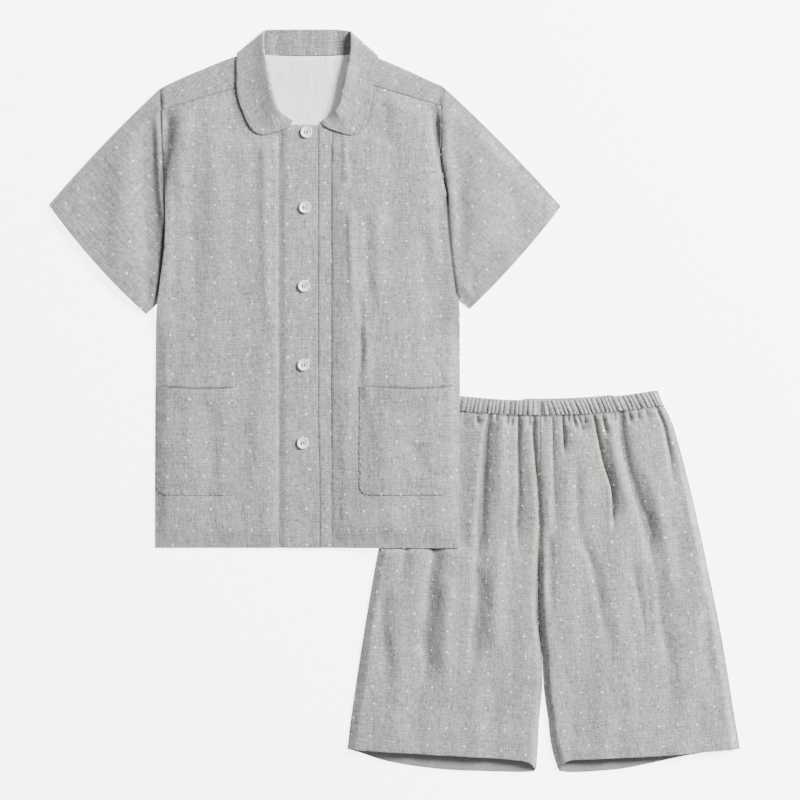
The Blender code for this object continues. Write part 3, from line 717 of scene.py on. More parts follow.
@dataclass
class Sheet:
    """A cut piece of cloth: rows of points in millimetres and where each lies on the cut.

    A ring closes its columns, and its cut has one column more than its points.
    """

    name: str
    points: np.ndarray
    cut: np.ndarray
    outside: Outside = Outside.UP
    held: Held = Held.LAID
    rests_on: tuple[str, ...] = ()
    ring: bool = False
    hem: np.ndarray | None = None
    # Painted shade for each point, from 0 to 1: darkening of the cloth's colour where shade falls
    shade: np.ndarray | None = None
    lined: bool = True
    thick: float = 1.1
    rounding: float = 0.3

    @property
    def rows(self) -> int:
        """Number of rows of points."""
        return self.points.shape[0]

    @property
    def columns(self) -> int:
        """Number of columns of points."""
        return self.points.shape[1]

    @property
    def solid(self) -> np.ndarray:
        """Whether each point is part of the cloth."""
        return np.isfinite(self.points).all(axis=2)

    def faces(self) -> tuple[np.ndarray, np.ndarray]:
        """Corners of each face and their places on the cut, with the outer side out.

        Returns:
            Corners of each face by point, and the place of each corner on the cut.
        """
        solid = self.solid
        index = np.full(solid.shape, -1)
        index[solid] = np.arange(solid.sum())
        left = index if self.ring else index[:, :-1]
        right = np.roll(index, -1, axis=1) if self.ring else index[:, 1:]
        corners = np.stack([left[:-1], right[:-1], right[1:], left[1:]], axis=-1)
        near, far = self.cut[:, :-1], self.cut[:, 1:]
        places = np.stack([near[:-1], far[:-1], far[1:], near[1:]], axis=-2)
        across = np.roll(self.points, -1, axis=1) - self.points
        up = np.roll(self.points, -1, axis=0) - self.points
        tilt = np.cross(across, up)[: self.rows - 1, : max(self.columns // 3, 1), 2]
        corners = corners.reshape(-1, 4)
        places = places.reshape(-1, 4, 2)
        keep = (corners >= 0).all(axis=1)
        corners, places = corners[keep], places[keep]
        if np.nansum(tilt) * self.outside.value < 0:
            corners, places = corners[:, ::-1], places[:, ::-1]
        return corners, places

    def line(self, rows: np.ndarray, columns: np.ndarray) -> np.ndarray:
        """Points on the upper face of the cloth at fractional rows and columns of its grid.

        Args:
            rows: Places along the rows of the grid.
            columns: Places along its columns.

        Returns:
            Points in millimetres.
        """
        rows, columns = np.broadcast_arrays(np.asarray(rows, float), np.asarray(columns, float))
        row = np.clip(rows.astype(int), 0, self.rows - 2)
        column = np.clip(columns.astype(int), 0, self.columns - 2)
        s, t = (columns - column)[:, None], (rows - row)[:, None]
        low = self.points[row, column] * (1 - s) + self.points[row, column + 1] * s
        high = self.points[row + 1, column] * (1 - s) + self.points[row + 1, column + 1] * s
        return low * (1 - t) + high * t + (0, 0, self.thick / 2)

    def build(self, finishes: Finishes) -> bpy.types.Object:
        """Args:
            finishes: The materials of the set.

        Returns:
            The piece of cloth.
        """
        corners, places = self.faces()
        solid = self.solid
        mesh = bpy.data.meshes.new(self.name)
        mesh.from_pydata((self.points[solid] * MM).tolist(), [], corners.tolist())
        layer = mesh.uv_layers.new(name="cut")
        layer.data.foreach_set("uv", (places * MM).ravel())
        # The hem grey and the painted shade go onto the mesh as point marks
        for name, values in (("hem", self.hem), ("shade", self.shade)):
            if values is not None:
                layer = mesh.attributes.new(name, "FLOAT", "POINT")
                layer.data.foreach_set("value", np.clip(values[solid], 0, 1).astype(float))
        mesh.shade_smooth()
        piece = bpy.data.objects.new(self.name + "_cloth", mesh)
        bpy.context.collection.objects.link(piece)
        mesh.materials.append(finishes.outer)
        mesh.materials.append(finishes.inner)
        wall = piece.modifiers.new("Wall", "SOLIDIFY")
        wall.thickness = self.thick * MM
        wall.offset = 0.0
        wall.material_offset = 1 if self.lined else 0
        edge = piece.modifiers.new("Edge", "BEVEL")
        edge.width = self.rounding * self.thick * MM
        edge.segments = 2
        edge.limit_method = "ANGLE"
        edge.angle_limit = math.radians(60)
        self.declare(piece, places)
        return piece

    def declare(self, piece: bpy.types.Object, places: np.ndarray) -> None:
        """Attach the piece to its body, hide the node that it stands for and work out the area of its
        cut.

        Args:
            piece: The piece of cloth.
            places: Places on the cut, by face and corner.
        """
        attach(piece, BODY)
        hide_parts(self.name)
        first = places[:, 2] - places[:, 0]
        second = places[:, 3] - places[:, 1]
        area = np.abs(first[:, 0] * second[:, 1] - first[:, 1] * second[:, 0]).sum() / 2


# Walls of the solids that the cloth follows
WALL = 1.2
GAP = 0.3
LAYER = WALL + GAP
SEAM = 0.55
FLOOR_LEVEL = WALL / 2

# Where the two garments lie
SHIRT_X = -112.8
SHIRT_Y = -191.6
SHORTS_X = 189.7
SHORTS_Y = -18.6


class Flare(NamedTuple):
    """The shorts' half-widths at a drop."""

    drop: float
    left: float
    right: float


FLARES = (
    Flare(-13, 160.5, 160.5),
    Flare(1, 167.5, 167.7),
    Flare(9, 171.0, 171.4),
    Flare(17, 174.0, 174.2),
    Flare(48, 182.0, 183.0),
    Flare(79, 189.5, 191.0),
    Flare(110, 196.5, 198.6),
    Flare(188, 212.8, 215.8),
    Flare(292, 230.6, 236.6),
    Flare(396, 246.2, 253.6),
    Flare(434, 250.6, 260.0),
)


class Pocket(NamedTuple):
    """Edges of a patch pocket."""

    left: float
    right: float
    low: float
    high: float


class Side(NamedTuple):
    """One side of the shirt. Heights are paired with distances out from the middle."""

    name: str
    sign: int
    armhole: Table
    notch: Table
    edge: Table
    shoulder: Table
    hem_high: tuple[float, float]
    hem_low: tuple[float, float]
    hem_bow: float
    collar_dip: float
    leaf_narrow: float
    seam_dip: float
    seam_width: float
    # Strengths of the painted shade on the sleeve, at the armhole and beside the body
    arm_shade: float
    fold_shade: float
    front_folds: tuple[Fold, ...]
    # Paths of painted shadow and shade on the front
    shadows: tuple[Fold, ...]
    sleeve_folds: tuple[Fold, ...]
    pocket: Pocket
    pocket_folds: tuple[Fold, ...]


RIGHT = Side(
    name="right",
    sign=-1,
    armhole=((347, 166.2), (362, 167.9), (400, 175.8), (455, 185.3), (481, 187.5), (515, 189),
             (551, 190.8), (597, 191.5)),
    notch=((0, 198.9), (192, 198.2), (290, 196.8), (313.5, 195.6), (344.2, 164.2)),
    edge=((0, 198.9), (192, 198.2), (290, 197), (314.6, 195.4), (342, 192.3), (391, 186),
          (430, 185), (452, 185.3)),
    shoulder=((68.9, 645.2), (91.7, 638.7), (108.5, 633.1), (141, 620.1), (171, 607.1),
              (191.5, 597)),
    hem_high=(336, 445.6),
    hem_low=(210.5, 304.4),
    hem_bow=5,
    collar_dip=0,
    leaf_narrow=0,
    seam_dip=1.1,
    seam_width=6.5,
    arm_shade=0,
    fold_shade=0.42,
    front_folds=(
        Fold(((596, -182), (543, -183.2), (517, -185.6), (497, -189.4), (474, -192.6), (440, -193)),
             -5.5, 6.6, 0.8, 0.08, 0.25, 0.62),
        Fold(((588, -160), (520, -163), (450, -168), (380, -172)), 2.4, 11, 1, 0.15, 0.5),
        Fold(((470, -179), (440, -178.5), (380, -180), (330, -185)), 1.6, 5, 1.6),
        Fold(((606, -96), (576, -95), (556, -90), (534, -74)), -2.4, 8, 1, 0.15, 0.2, 0.7),
        Fold(((545, -55.5), (452, -55), (335, -53), (283, -46.5), (231, -41), (180, -40)),
             1.4, 6.5, 1.2, 0.08),
        Fold(((548, -70), (452, -68), (335, -66)), -0.7, 7, 1.4, 0.1),
        Fold(((560, -41.5), (300, -41.8), (20, -42)), 1, 2.6, 1, 0.05, 0.05),
        Fold(((560, -128), (430, -120), (300, -122)), 1, 10, 1.5),
        Fold(((520, -150), (400, -148), (250, -152)), -1.1, 9, 1.3),
        Fold(((330, -160), (260, -163), (212, -170)), -0.9, 8, 1.3),
        Fold(((340, -92), (270, -86), (212, -78)), 1.2, 8, 1.4),
        Fold(((205, -70), (120, -66), (30, -72)), 1.2, 9, 1.3),
    ),
    # Painted shadow beside the collar leaf, and painted shade along the armhole trough
    shadows=(
        Fold(((622, -93), (590, -91), (566, -85), (548, -76), (536, -62)),
             0.42, 9, 1, 0.1, 0.2),
        Fold(((600, -178.5), (543, -180), (517, -182.5), (497, -186.5), (474, -190), (430, -190)),
             0.56, 8.6, 0.8, 0.05, 0.35, 0.9),
    ),
    sleeve_folds=(
        Fold(((575, -195), (517, -193.5), (459, -190), (425, -187.5), (390, -190)),
             3.6, 5.2, 1, 0.2, 0.25),
        Fold(((560, -204), (500, -211), (440, -209), (380, -204), (345, -205)),
             -3.6, 11, 1.2, 0.2, 0.25),
        Fold(((540, -232), (450, -240), (380, -246), (330, -238)), 2.4, 15, 1.2),
        Fold(((500, -268), (440, -280), (400, -286)), -1, 12, 1.2),
        Fold(((356, -206), (336, -207), (316, -210)), -2.2, 5, 1, 0.3, 0.3),
        Fold(((352, -217), (330, -219), (312, -222)), 1, 5, 1, 0.3, 0.3),
    ),
    pocket=Pocket(-196.4, -91.6, 69, 209),
    pocket_folds=(
        Fold(((200, -158), (150, -156), (90, -160)), 0.9, 9, 1.3),
        Fold(((190, -128), (130, -124), (80, -126)), -1, 8, 1.2),
    ),
)

LEFT = Side(
    name="left",
    sign=1,
    armhole=((347, 165.2), (362, 166.4), (400, 172), (453, 180.5), (480, 177.2), (513, 173.8),
             (551, 174.2), (599.4, 176)),
    notch=((0, 198.4), (192, 198), (290, 197.2), (314.5, 194.8), (344.2, 163.2)),
    edge=((0, 198.4), (192, 198), (290, 198), (322, 196.8), (331.5, 193.2), (370, 188),
          (413, 183.4), (450, 180.8)),
    shoulder=((68.9, 645.2), (91.7, 636.2), (99.5, 633.1), (130.6, 620.1), (158, 607.1),
              (176, 599.4)),
    hem_high=(329.2, 443.6),
    hem_low=(211.5, 311.2),
    hem_bow=3.6,
    collar_dip=3.4,
    leaf_narrow=6,
    seam_dip=0.5,
    seam_width=1.6,
    arm_shade=0.6,
    fold_shade=0.12,
    front_folds=(
        Fold(((592, 163.5), (550, 164.6), (517, 168.6), (497, 173.6), (478, 179), (450, 183)),
             -6.5, 5.4, 0.9, 0.06, 0.25, 0.75),
        Fold(((590, 175.5), (540, 174.6), (500, 178)), 2.4, 4.2, 1, 0.2, 0.3),
        Fold(((585, 140), (500, 143), (400, 150)), 1.6, 11, 1.2, 0.2, 0.5),
        Fold(((560, 153), (500, 156), (400, 164), (330, 178)), 1.2, 6, 1.5),
        Fold(((592, 93), (566, 88), (548, 74), (540, 58)), -1.4, 6, 1, 0.2, 0.2),
        Fold(((548, 48), (498, 49.6), (460, 51)), 2, 3.6, 1.3, 0.15, 0.3),
        Fold(((450, 54), (437, 54.6), (361, 57.6), (290, 60)), 2.1, 5, 1.3, 0.2, 0.3, 0.8),
        Fold(((470, 91), (400, 92), (322, 96), (290, 98)), 1.7, 8, 1.2),
        Fold(((440, 78), (380, 77), (300, 84)), -1.4, 5, 1.3),
        Fold(((300, 76), (250, 78), (212, 77), (150, 84)), 2.2, 5, 1.5, 0.15),
        Fold(((330, 69), (260, 69), (212, 68)), -1.4, 4, 1.2),
        Fold(((480, 122), (380, 124), (240, 128)), 0.9, 11, 1.4),
        Fold(((420, 150), (360, 152), (300, 158)), -1.3, 8, 1.3),
        Fold(((190, 46), (110, 48), (20, 46)), 1, 6, 1.2),
        Fold(((60, 110), (30, 112), (4, 114)), 0.8, 10, 1.2),
    ),
    # Painted shade near the band's top, painted shadow beside the leaf's edge, and painted shade along
    # the armhole trough
    shadows=(
        Fold(((556, 26), (546, 34), (535, 44)), 0.3, 8, 1, 0.3, 0.4),
        Fold(((618, 89.5), (600, 87.5), (584, 85.5), (566, 82.5), (551, 77.5), (540, 68)),
             0.42, 3, 1, 0.1, 0.2),
        Fold(((600, 170), (550, 170.5), (517, 172.5), (497, 175.5), (460, 180)),
             0.56, 6.4, 0.8, 0.05, 0.3),
    ),
    sleeve_folds=(
        Fold(((575, 182), (520, 181.5), (470, 186), (420, 190), (380, 192)),
             2.4, 5.5, 1.2, 0.15, 0.3),
        Fold(((520, 199), (460, 200), (400, 200), (350, 196)), -1.8, 8, 1.3),
        Fold(((540, 218), (470, 224), (400, 232), (350, 228)), 1.1, 12, 1.2),
        Fold(((480, 262), (430, 274), (390, 280)), -1, 12, 1.2),
        Fold(((372, 214), (346, 214), (322, 216)), -1.4, 5, 1, 0.3, 0.3),
    ),
    pocket=Pocket(67.6, 188.6, 69, 209.5),
    pocket_folds=(
        Fold(((140, 132), (112, 145), (88, 158)), -1.6, 8, 1.2),
        Fold(((200, 96), (150, 98), (100, 102)), 0.9, 9, 1.3),
    ),
)

SHIRT_WAVES = (
    Wave(0.120, 0.008, 0.4, 0.34),
    Wave(0.074, -0.013, 2.1, 0.40),
    Wave(0.205, 0.019, 4.0, 0.13),
    Wave(0.047, 0.026, 1.2, 0.34),
    Wave(0.310, -0.024, 0.9, 0.06),
)


class Rib(NamedTuple):
    """One line across the collar: neck seam, roll and outer edge, and how it lies."""

    seam_u: float
    seam_v: float
    roll_u: float
    roll_v: float
    edge_u: float
    edge_v: float
    over: float
    radius: float


COLLAR = (
    Rib(21.2, 551.6, 19.6, 555, 22.5, 548.2, 1, 0.80),
    Rib(29.1, 555, 26.5, 558.6, 31, 544.4, 1, 1.00),
    Rib(36.7, 559.4, 32.5, 562.6, 42, 540.6, 1, 1.30),
    Rib(43.5, 565, 37.5, 567.6, 56, 537, 1, 1.60),
    Rib(49, 571.6, 41.5, 574.5, 67.5, 540.4, 1, 1.75),
    Rib(53.5, 579, 44.5, 583, 76.5, 550.6, 1, 1.75),
    Rib(57.5, 587.4, 46.8, 593, 82.6, 564.6, 1, 1.75),
    Rib(60.8, 596, 49, 604, 88.6, 579.6, 1, 1.75),
    Rib(63.9, 606.5, 51.5, 616, 91.5, 595, 1, 1.70),
    Rib(65.8, 618, 54.3, 630, 91.8, 611, 1, 1.50),
    Rib(66.9, 630, 57, 646, 91.8, 626, 1, 1.30),
    Rib(67.5, 642, 57.4, 661, 91.6, 637.4, 1, 1.10),
    Rib(67.8, 646.6, 57.2, 668.6, 91.8, 641.4, 0.93, 0.90),
    Rib(67.4, 648.4, 56.4, 671.6, 92.2, 642.8, 0.5, 0.80),
    Rib(66, 646.6, 55, 672.4, 91.6, 641, 0.07, 0.75),
    Rib(60, 643.4, 52, 673, 87, 633, 0, 0.75),
    Rib(45, 641.4, 43, 673.2, 64, 628, 0, 0.75),
    Rib(30, 640.8, 30, 673.4, 40, 629.4, 0, 0.75),
    Rib(15, 640.5, 15, 673.4, 19, 631.4, 0, 0.75),
    Rib(0, 640.4, 0, 673.4, 0, 632, 0, 0.75),
)


@dataclass
class Shirt:
    """The shirt: back, fronts, bands, sleeves, collar and pockets."""

    finishes: Finishes
    lift_height: float = 5.75
    lift_ramp: float = 70.0
    lift_margin: float = 2.0
    lift_slack: float = 0.25
    notch_row: float = 0.573
    seam_height: float = 627.5
    seam_slope: float = 0.3
    shoulder_out: float = 64.6
    neck_part: float = 0.28
    underarm: float = 455.0
    neck_seam: float = 640.4
    neck_dip: float = 4.4
    neck_corner: float = 68.9
    strip_taper: float = 3.9
    roll_fullness: float = 2.6
    leaf_lift: float = 0.35
    leaf_gap: float = 0.15
    leaf_rest: float = 0.9
    band_left: float = -36.4
    band_right: float = 15.6
    band_taper: float = 2.0
    band_width: float = 52.0
    band_pitch: float = 2.0
    band_rows: int = 200
    band_stitch: float = 2.6
    band_flick: float = 0.9
    band_valley: float = 2.0
    band_lift: float = 0.35
    under_left: float = -20.0
    under_right: float = 31.9
    band_end: float = 550.5
    sleeve_across: float = 150.0
    sleeve_down: float = 160.0
    sleeve_pitch: float = 2.1
    sleeve_hem: float = 15.0
    sleeve_tuck: float = 0.5
    sleeve_grain: float = 43.0
    sleeve_loft: float = 1.2
    sleeve_puff: float = 2.6
    front_pitch: float = 1.9
    front_step: float = 3.0
    pucker: float = 0.45
    back_pucker: float = 0.16
    arm_dip: float = 0.8
    mouth_bow: float = 2.6
    mouth_wave: float = 0.7
    mouth_puff: float = 2.2
    pocket_rest: float = 1.05
    pocket_pucker: float = 0.3
    loft: float = 3.0
    tuck_rise: float = 1.6
    side_dip: float = 0.3
    pocket_corner: float = 13.0
    hem_turn: float = 22.0
    hem_stitch: float = 18.0
    collar_steps: int = 6
    neckline: Table = (
        (551.0, 20.0), (555.2, 30.0), (560.5, 39.0), (566.5, 45.5), (575.0, 52.0), (586.0, 57.5),
        (596.0, 61.3), (608.0, 64.8), (626.0, 67.6), (645.0, 68.6),
    )

    def points(self, plan: np.ndarray, level: np.ndarray) -> np.ndarray:
        """Plan points and levels of the shirt in the object's frame."""
        return np.dstack((plan[..., 0] + SHIRT_X, plan[..., 1] + SHIRT_Y, level))

    def lift(self, u: Places, v: Places) -> Places:
        """Rise of the shirt where it passes over the shorts.

        Args:
            u: Places across the shirt.
            v: Places up from its hem.

        Returns:
            Rise in millimetres.
        """
        x = SHIRT_X + u
        y = SHIRT_Y + v
        left = SHORTS_X - read([(row.drop, row.left) for row in FLARES], SHORTS_Y - y)
        top = SHORTS_Y + Shorts.sag * Shorts.waist_half**2 + Shorts.band_height
        over = np.clip((x - left + self.lift_ramp) / (self.lift_ramp - self.lift_margin), 0, 1)
        over = over * over * (3 - 2 * over)
        return self.lift_height * over * smooth(y, top + self.lift_ramp, top + self.lift_margin)

    def back_level(self, u: Places, v: Places) -> Places:
        """Middle of the back's wall: raised where the collar's fall or the shorts lie under it."""
        on_fall = smooth(v, 584, 625) * smooth(np.abs(u), 134, 93)
        return FLOOR_LEVEL + LAYER * on_fall + self.lift(u, v)

    def front_base(self, u: Places, v: Places, side: Side) -> Places:
        """Middle of a front's wall without its folds.

        Args:
            u: Places across the shirt.
            v: Places up from its hem.
            side: The side of the shirt.

        Returns:
            Height in millimetres.
        """
        out = u * side.sign
        over_band = smooth(out, 84, 42) if side.sign < 0 else 0.0 * out
        slack = self.lift_slack * smooth(self.lift(u, v), 0, 1)
        return self.back_level(u, v) + LAYER * (1 + over_band) + slack

    def front_level(self, u: Places, v: Places, side: Side) -> Places:
        """Middle of a front's wall on one side of the shirt, with its folds.

        Args:
            u: Places across the shirt.
            v: Places up from its hem.
            side: The side of the shirt.

        Returns:
            Height in millimetres.
        """
        out = u * side.sign
        tuck = smooth(v, 492, 462) * smooth(v, 255, 320) * smooth(out, 150, 180)
        flank = smooth(out, 198, 182) * (1 - tuck) + tuck
        neck = smooth(v, 628.0 - 0.3 * out, 606.0 - 0.3 * out)
        inside = flank * neck * smooth(out, 18, 58) * smooth(v, -2, 30)
        loft = self.loft + relief(u, v, side.front_folds) + rippled(u, v, SHIRT_WAVES) * (1 - tuck)
        loft = loft * (1 - 0.85 * smooth(out, 118, 95) * smooth(v, 515, 545))
        raised = self.tuck_rise * tuck * smooth(out, 170, 186)
        flat = self.front_base(u, v, side)
        return flat + settled(loft) * inside + raised - self.side_dip * smooth(out, 192, 198)

    def forward_seam(self, out: Places) -> Places:
        """Height of the forward shoulder seam at a distance out from the middle."""
        return self.seam_height - self.seam_slope * out

    def band_top(self, u: Places) -> Places:
        """Height of a band's end: level between the leaves, then along the neck seam."""
        rise = read([(out, v) for v, out in self.neckline], np.abs(u)) - self.neckline[0][0]
        return self.band_end - SEAM + GAP + rise

    def build(self) -> None:
        """Make every piece of cloth of the shirt, and sew its visible stitch rows."""
        self.back().build(self.finishes)
        for side in (RIGHT, LEFT):
            front, sleeve, pocket = self.front(side), self.sleeve(side), self.pocket(side)
            for sheet in (front, sleeve, pocket):
                sheet.build(self.finishes)
            self.sew_side(front, sleeve, pocket)
        over = self.band("band_over", self.band_left, self.band_right, self.over_level)
        under = self.band("band_under", self.under_left, self.under_right, self.under_level)
        far = self.band_width - self.band_stitch
        for band, edges in ((over, (self.band_stitch, far)), (under, (far,))):
            band.build(self.finishes)
            share = spaced(self.band_width, self.band_pitch)
            columns = np.interp(np.array(edges) / self.band_width, share, np.arange(band.columns))
            rows = np.arange(0, band.rows - 4.0)
            self.finishes.sewing.sew(band.name, [band.line(rows, column) for column in columns])
        collar = self.collar()
        collar.build(self.finishes)
        leaf = np.arange(4, 72)
        last = collar.columns - 2.0
        leaves = [collar.line(leaf, last), collar.line(collar.rows - 1.0 - leaf, last)]
        self.finishes.sewing.sew(collar.name, leaves)

    def sew_side(self, front: Sheet, sleeve: Sheet, pocket: Sheet) -> None:
        """Sew the hem of a front, the hem of its sleeve and the edges of its pocket.

        Args:
            front: The front.
            sleeve: Its sleeve.
            pocket: Its pocket.
        """
        sewing = self.finishes.sewing
        row = np.interp(self.hem_stitch, front.cut[:, 0, 1], np.arange(front.rows))
        sewing.sew(front.name, [front.line(row, np.arange(1, front.columns - 1.0))])
        share, down = self.sleeve_shares()
        stitched = 1 - self.sleeve_hem / self.sleeve_down
        row = np.interp(stitched, down, np.arange(sleeve.rows))
        sewing.sew(sleeve.name, [sleeve.line(row, np.arange(3, len(share) + 1.0))])
        rows, columns = pocket.rows, pocket.columns
        up = np.arange(1.5, rows - 1.5)
        down_left = pocket.line(up[::-1], 3.4)
        bottom = pocket.line(1.5, np.arange(3.4, columns - 4.0))
        up_right = pocket.line(up, columns - 4.4)
        outline = np.concatenate((down_left, bottom, up_right))
        mouth = pocket.line(rows - 9.0, np.arange(3, columns - 4.0))
        sewing.sew(pocket.name, [outline, mouth])

    def back(self) -> Sheet:
        """Back of the shirt, with the shoulders turned over to the forward seams.

        Returns:
            The sheet.
        """
        right_end = SEAM - RIGHT.armhole[-1][1]
        width = LEFT.armhole[-1][1] - SEAM - right_end

        def flank(side: Side) -> Edge:
            """Edge of the back from the hem to the shoulder, with the notch for the sleeve.

            Args:
                side: The side of the shirt.

            Returns:
                The edge.
            """
            table = side.notch + tuple((v, out - SEAM) for v, out in side.armhole[1:])
            heights = ((0.0, 0.0), (self.notch_row, side.notch[-1][0]), (1.0, side.armhole[-1][0]))

            def at(share: np.ndarray) -> np.ndarray:
                """Points at shares of the height."""
                v = read(heights, share)
                return np.stack((side.sign * read(table, v), v), axis=1)

            return at

        def top(share: np.ndarray) -> np.ndarray:
            """Shoulder fold, neck seam, shoulder fold.

            Args:
                share: Shares of the way to the viewer's right.

            Returns:
                Plan points.
            """
            u = right_end + width * share
            out = np.abs(u)
            shoulder = np.where(u < 0, eased(RIGHT.shoulder, out), eased(LEFT.shoulder, out))
            neck = self.neck_seam - SEAM + self.neck_dip * (out / self.neck_corner) ** 3
            v = np.where(out >= self.neck_corner - GAP / 2, shoulder, neck)
            return np.stack((u, v), axis=1)

        neck_start = (-self.neck_corner - right_end) / width
        neck_end = (self.neck_corner - right_end) / width
        across = np.concatenate((
            np.linspace(0, neck_start, 21)[:-1],
            np.linspace(neck_start, neck_end, 35)[:-1],
            np.linspace(neck_end, 1, 21),
        ))
        up = np.concatenate((
            np.linspace(0, self.notch_row, 56)[:-1],
            np.linspace(self.notch_row, 1, 45),
        ))
        low = straight((-RIGHT.notch[0][1], 0), (LEFT.notch[0][1], 0))
        plan = patch(flank(RIGHT), flank(LEFT), low, top, across, up)
        points = self.points(plan, self.back_level(plan[..., 0], plan[..., 1]))
        turned, turned_cut = self.shoulder_turn(plan[-1])
        cut = np.concatenate((plan, turned_cut))
        hem = smooth(cut[..., 1], self.hem_turn + 0.5, self.hem_turn - 0.5)
        points = np.concatenate((points, turned))
        u, v = points[..., 0] - SHIRT_X, points[..., 1] - SHIRT_Y
        # Painted shade along each armhole edge, where the gap beside the sleeve shows the inside; the
        # same mark turns that inside grey like a turned-in seam
        arm = np.where(u < 0, read(RIGHT.armhole, v), read(LEFT.armhole, v))
        shade = bell(np.abs(u) - arm + SEAM, 2.2) * smooth(v, 330, 345)
        shade = shade * (1 - 0.5 * smooth(v, 585, 592))
        return Sheet("shirt_back", points, cut, Outside.DOWN, Held.FOLDED,
                     hem=np.maximum(hem, shade), shade=shade)

    def shoulder_turn(self, fold: np.ndarray) -> tuple[np.ndarray, np.ndarray]:
        """Rows of the back beyond its shoulder folds, turned over onto the front.

        Args:
            fold: Plan points along the top of the back.

        Returns:
            Points of the turned rows and their places on the cut; the neck has none.
        """
        u, v = fold[:, 0], fold[:, 1]
        out = np.abs(u)
        level = self.back_level(u, v)
        top_out = np.where(u < 0, RIGHT.armhole[-1][1], LEFT.armhole[-1][1])
        seam_top = self.forward_seam(top_out)
        arm = np.where(u < 0, read(RIGHT.armhole, seam_top), read(LEFT.armhole, seam_top))
        near_neck = smooth(out, 90, self.neck_corner)
        from_arm = np.clip((out - top_out + 30.0) / (30.0 - SEAM), 0, 1)
        near_arm = from_arm * from_arm * (3 - 2 * from_arm)
        end_out = out - near_neck * self.strip_taper - near_arm * (top_out - arm)
        end_u = np.copysign(end_out, u)
        seam = self.forward_seam(end_out) + GAP / 2
        rows = []
        cuts = []
        for angle in np.linspace(math.pi / 6, math.pi * 5 / 6, 5):
            bulge = LAYER / 2 * math.sin(angle)
            rise = LAYER / 2 * (1 - math.cos(angle))
            rows.append(np.stack((u + SHIRT_X, v + bulge + SHIRT_Y, level + rise), axis=1))
            cuts.append(np.stack((u, v + LAYER / 2 * angle), axis=1))
        for share in np.linspace(0, 1, 9):
            row_u = u + (end_u - u) * share
            row_v = v + (seam - v) * share
            pucker = self.back_pucker * share**3 * np.sin(0.9 * row_u + 1.3 * np.sin(0.13 * row_u))
            z = self.back_level(row_u, row_v) + LAYER + pucker
            rows.append(np.stack((row_u + SHIRT_X, row_v + SHIRT_Y, z), axis=1))
            depth = v - row_v + 2.4
            cuts.append(np.stack((u + np.sign(u) * 0.68 * depth, v + 0.73 * depth), axis=1))
        turned = np.array(rows)
        turned[:, out < self.neck_corner - GAP / 2] = np.nan
        return turned, np.array(cuts)

    def front(self, side: Side) -> Sheet:
        """One front of the shirt, from its band out to the side and armhole.

        Args:
            side: The side of the shirt.

        Returns:
            The sheet.
        """
        sign = side.sign
        inner = GAP - self.band_left if sign < 0 else self.under_right + GAP
        inner_top = float(self.band_top(inner))
        top_out = side.armhole[-1][1]
        seam_top = self.forward_seam(top_out) - GAP / 2
        upper = [row for row in side.armhole if self.underarm < row[0] < seam_top]
        edge = side.edge + tuple((v, out - SEAM) for v, out in upper)
        edge += ((seam_top, float(read(side.armhole, seam_top)) - SEAM),)

        def flank(share: np.ndarray) -> np.ndarray:
            """Side edge and armhole, from the hem up."""
            v = share * seam_top
            rounded = 3.0 * np.clip(1 - v / 5.0, 0, 1) ** 2
            return np.stack((sign * (eased(edge, v) - rounded), v), axis=1)

        def seam_in(share: np.ndarray) -> np.ndarray:
            """Seam with the band, from the hem up."""
            return np.stack((np.full_like(share, sign * inner), share * inner_top), axis=1)

        neck_part = self.neck_part
        corner_height = self.forward_seam(self.shoulder_out) - GAP / 2
        corner = (sign * (self.shoulder_out + SEAM), corner_height)
        knots = [(sign * inner, inner_top)]
        knots += [(sign * (out + SEAM), v) for v, out in self.neckline if inner_top + 3 < v < 606]
        shoulder = straight(corner, (sign * edge[-1][1], seam_top))
        top = joined(through([*knots, corner]), shoulder, neck_part)
        low = straight((sign * inner, 0), (sign * side.edge[0][1], 0))
        body = edge[0][1] - inner
        shares = spaced(body, self.front_pitch)
        before, after = shares < neck_part - 0.006, shares > neck_part + 0.006
        across = np.concatenate((shares[before], [neck_part], shares[after]))
        up = spaced(seam_top, self.front_step, start=False)
        plan = patch(seam_in, flank, low, top, across, up)
        u, v = plan[..., 0], plan[..., 1]
        out = sign * u
        seam_off = self.forward_seam(out) - v
        wander = np.sin(0.55 * u + 1.6 * np.sin(0.11 * u))
        pucker = self.pucker * bell(seam_off - 3, 4.5) * wander - bell(seam_off, 1.5)
        # Painted shade along the forward shoulder seam
        seam_shade = bell(seam_off - 0.6, 1.2) * smooth(out, 60, 80)
        level = self.front_level(u, v, side) + pucker * smooth(v, 560, 600)
        arm = read(side.armhole, v)
        level = level - self.arm_dip * bell(arm - SEAM - out, 1.5) * smooth(v, 455, 480)
        level = level - side.seam_dip * bell(out - inner, side.seam_width)
        hem = smooth(v, self.hem_turn + 0.5, self.hem_turn - 0.5)
        # Painted shade at the front's edge by the armhole, along the side's shadow paths, in the slit
        # over the sleeve and above each pocket's mouth
        shade = bell(arm - SEAM - out, 1.3) * smooth(v, 440, 470)
        shade = np.maximum(shade, 0.75 * seam_shade * (0.7 + 0.3 * wander))
        shade = np.maximum(shade, relief(u, v, side.shadows))
        slit = smooth(v, 310, 345) * smooth(v, 480, 455)
        shade = np.maximum(shade, bell(read(edge, v) - out, 0.9) * slit)
        mouth = self.mouth_line(u, side.pocket) - v
        width = smooth(u, side.pocket.left + 3, side.pocket.left + 12)
        width = width * smooth(u, side.pocket.right + 1, side.pocket.right - 8)
        shade = np.maximum(shade, width * smooth(mouth, -4.2, -0.6) * smooth(mouth, 9, 5))
        return Sheet("shirt_front_" + side.name, self.points(plan, level), plan,
                     rests_on=("shirt_back",), hem=hem, shade=0.8 * shade)

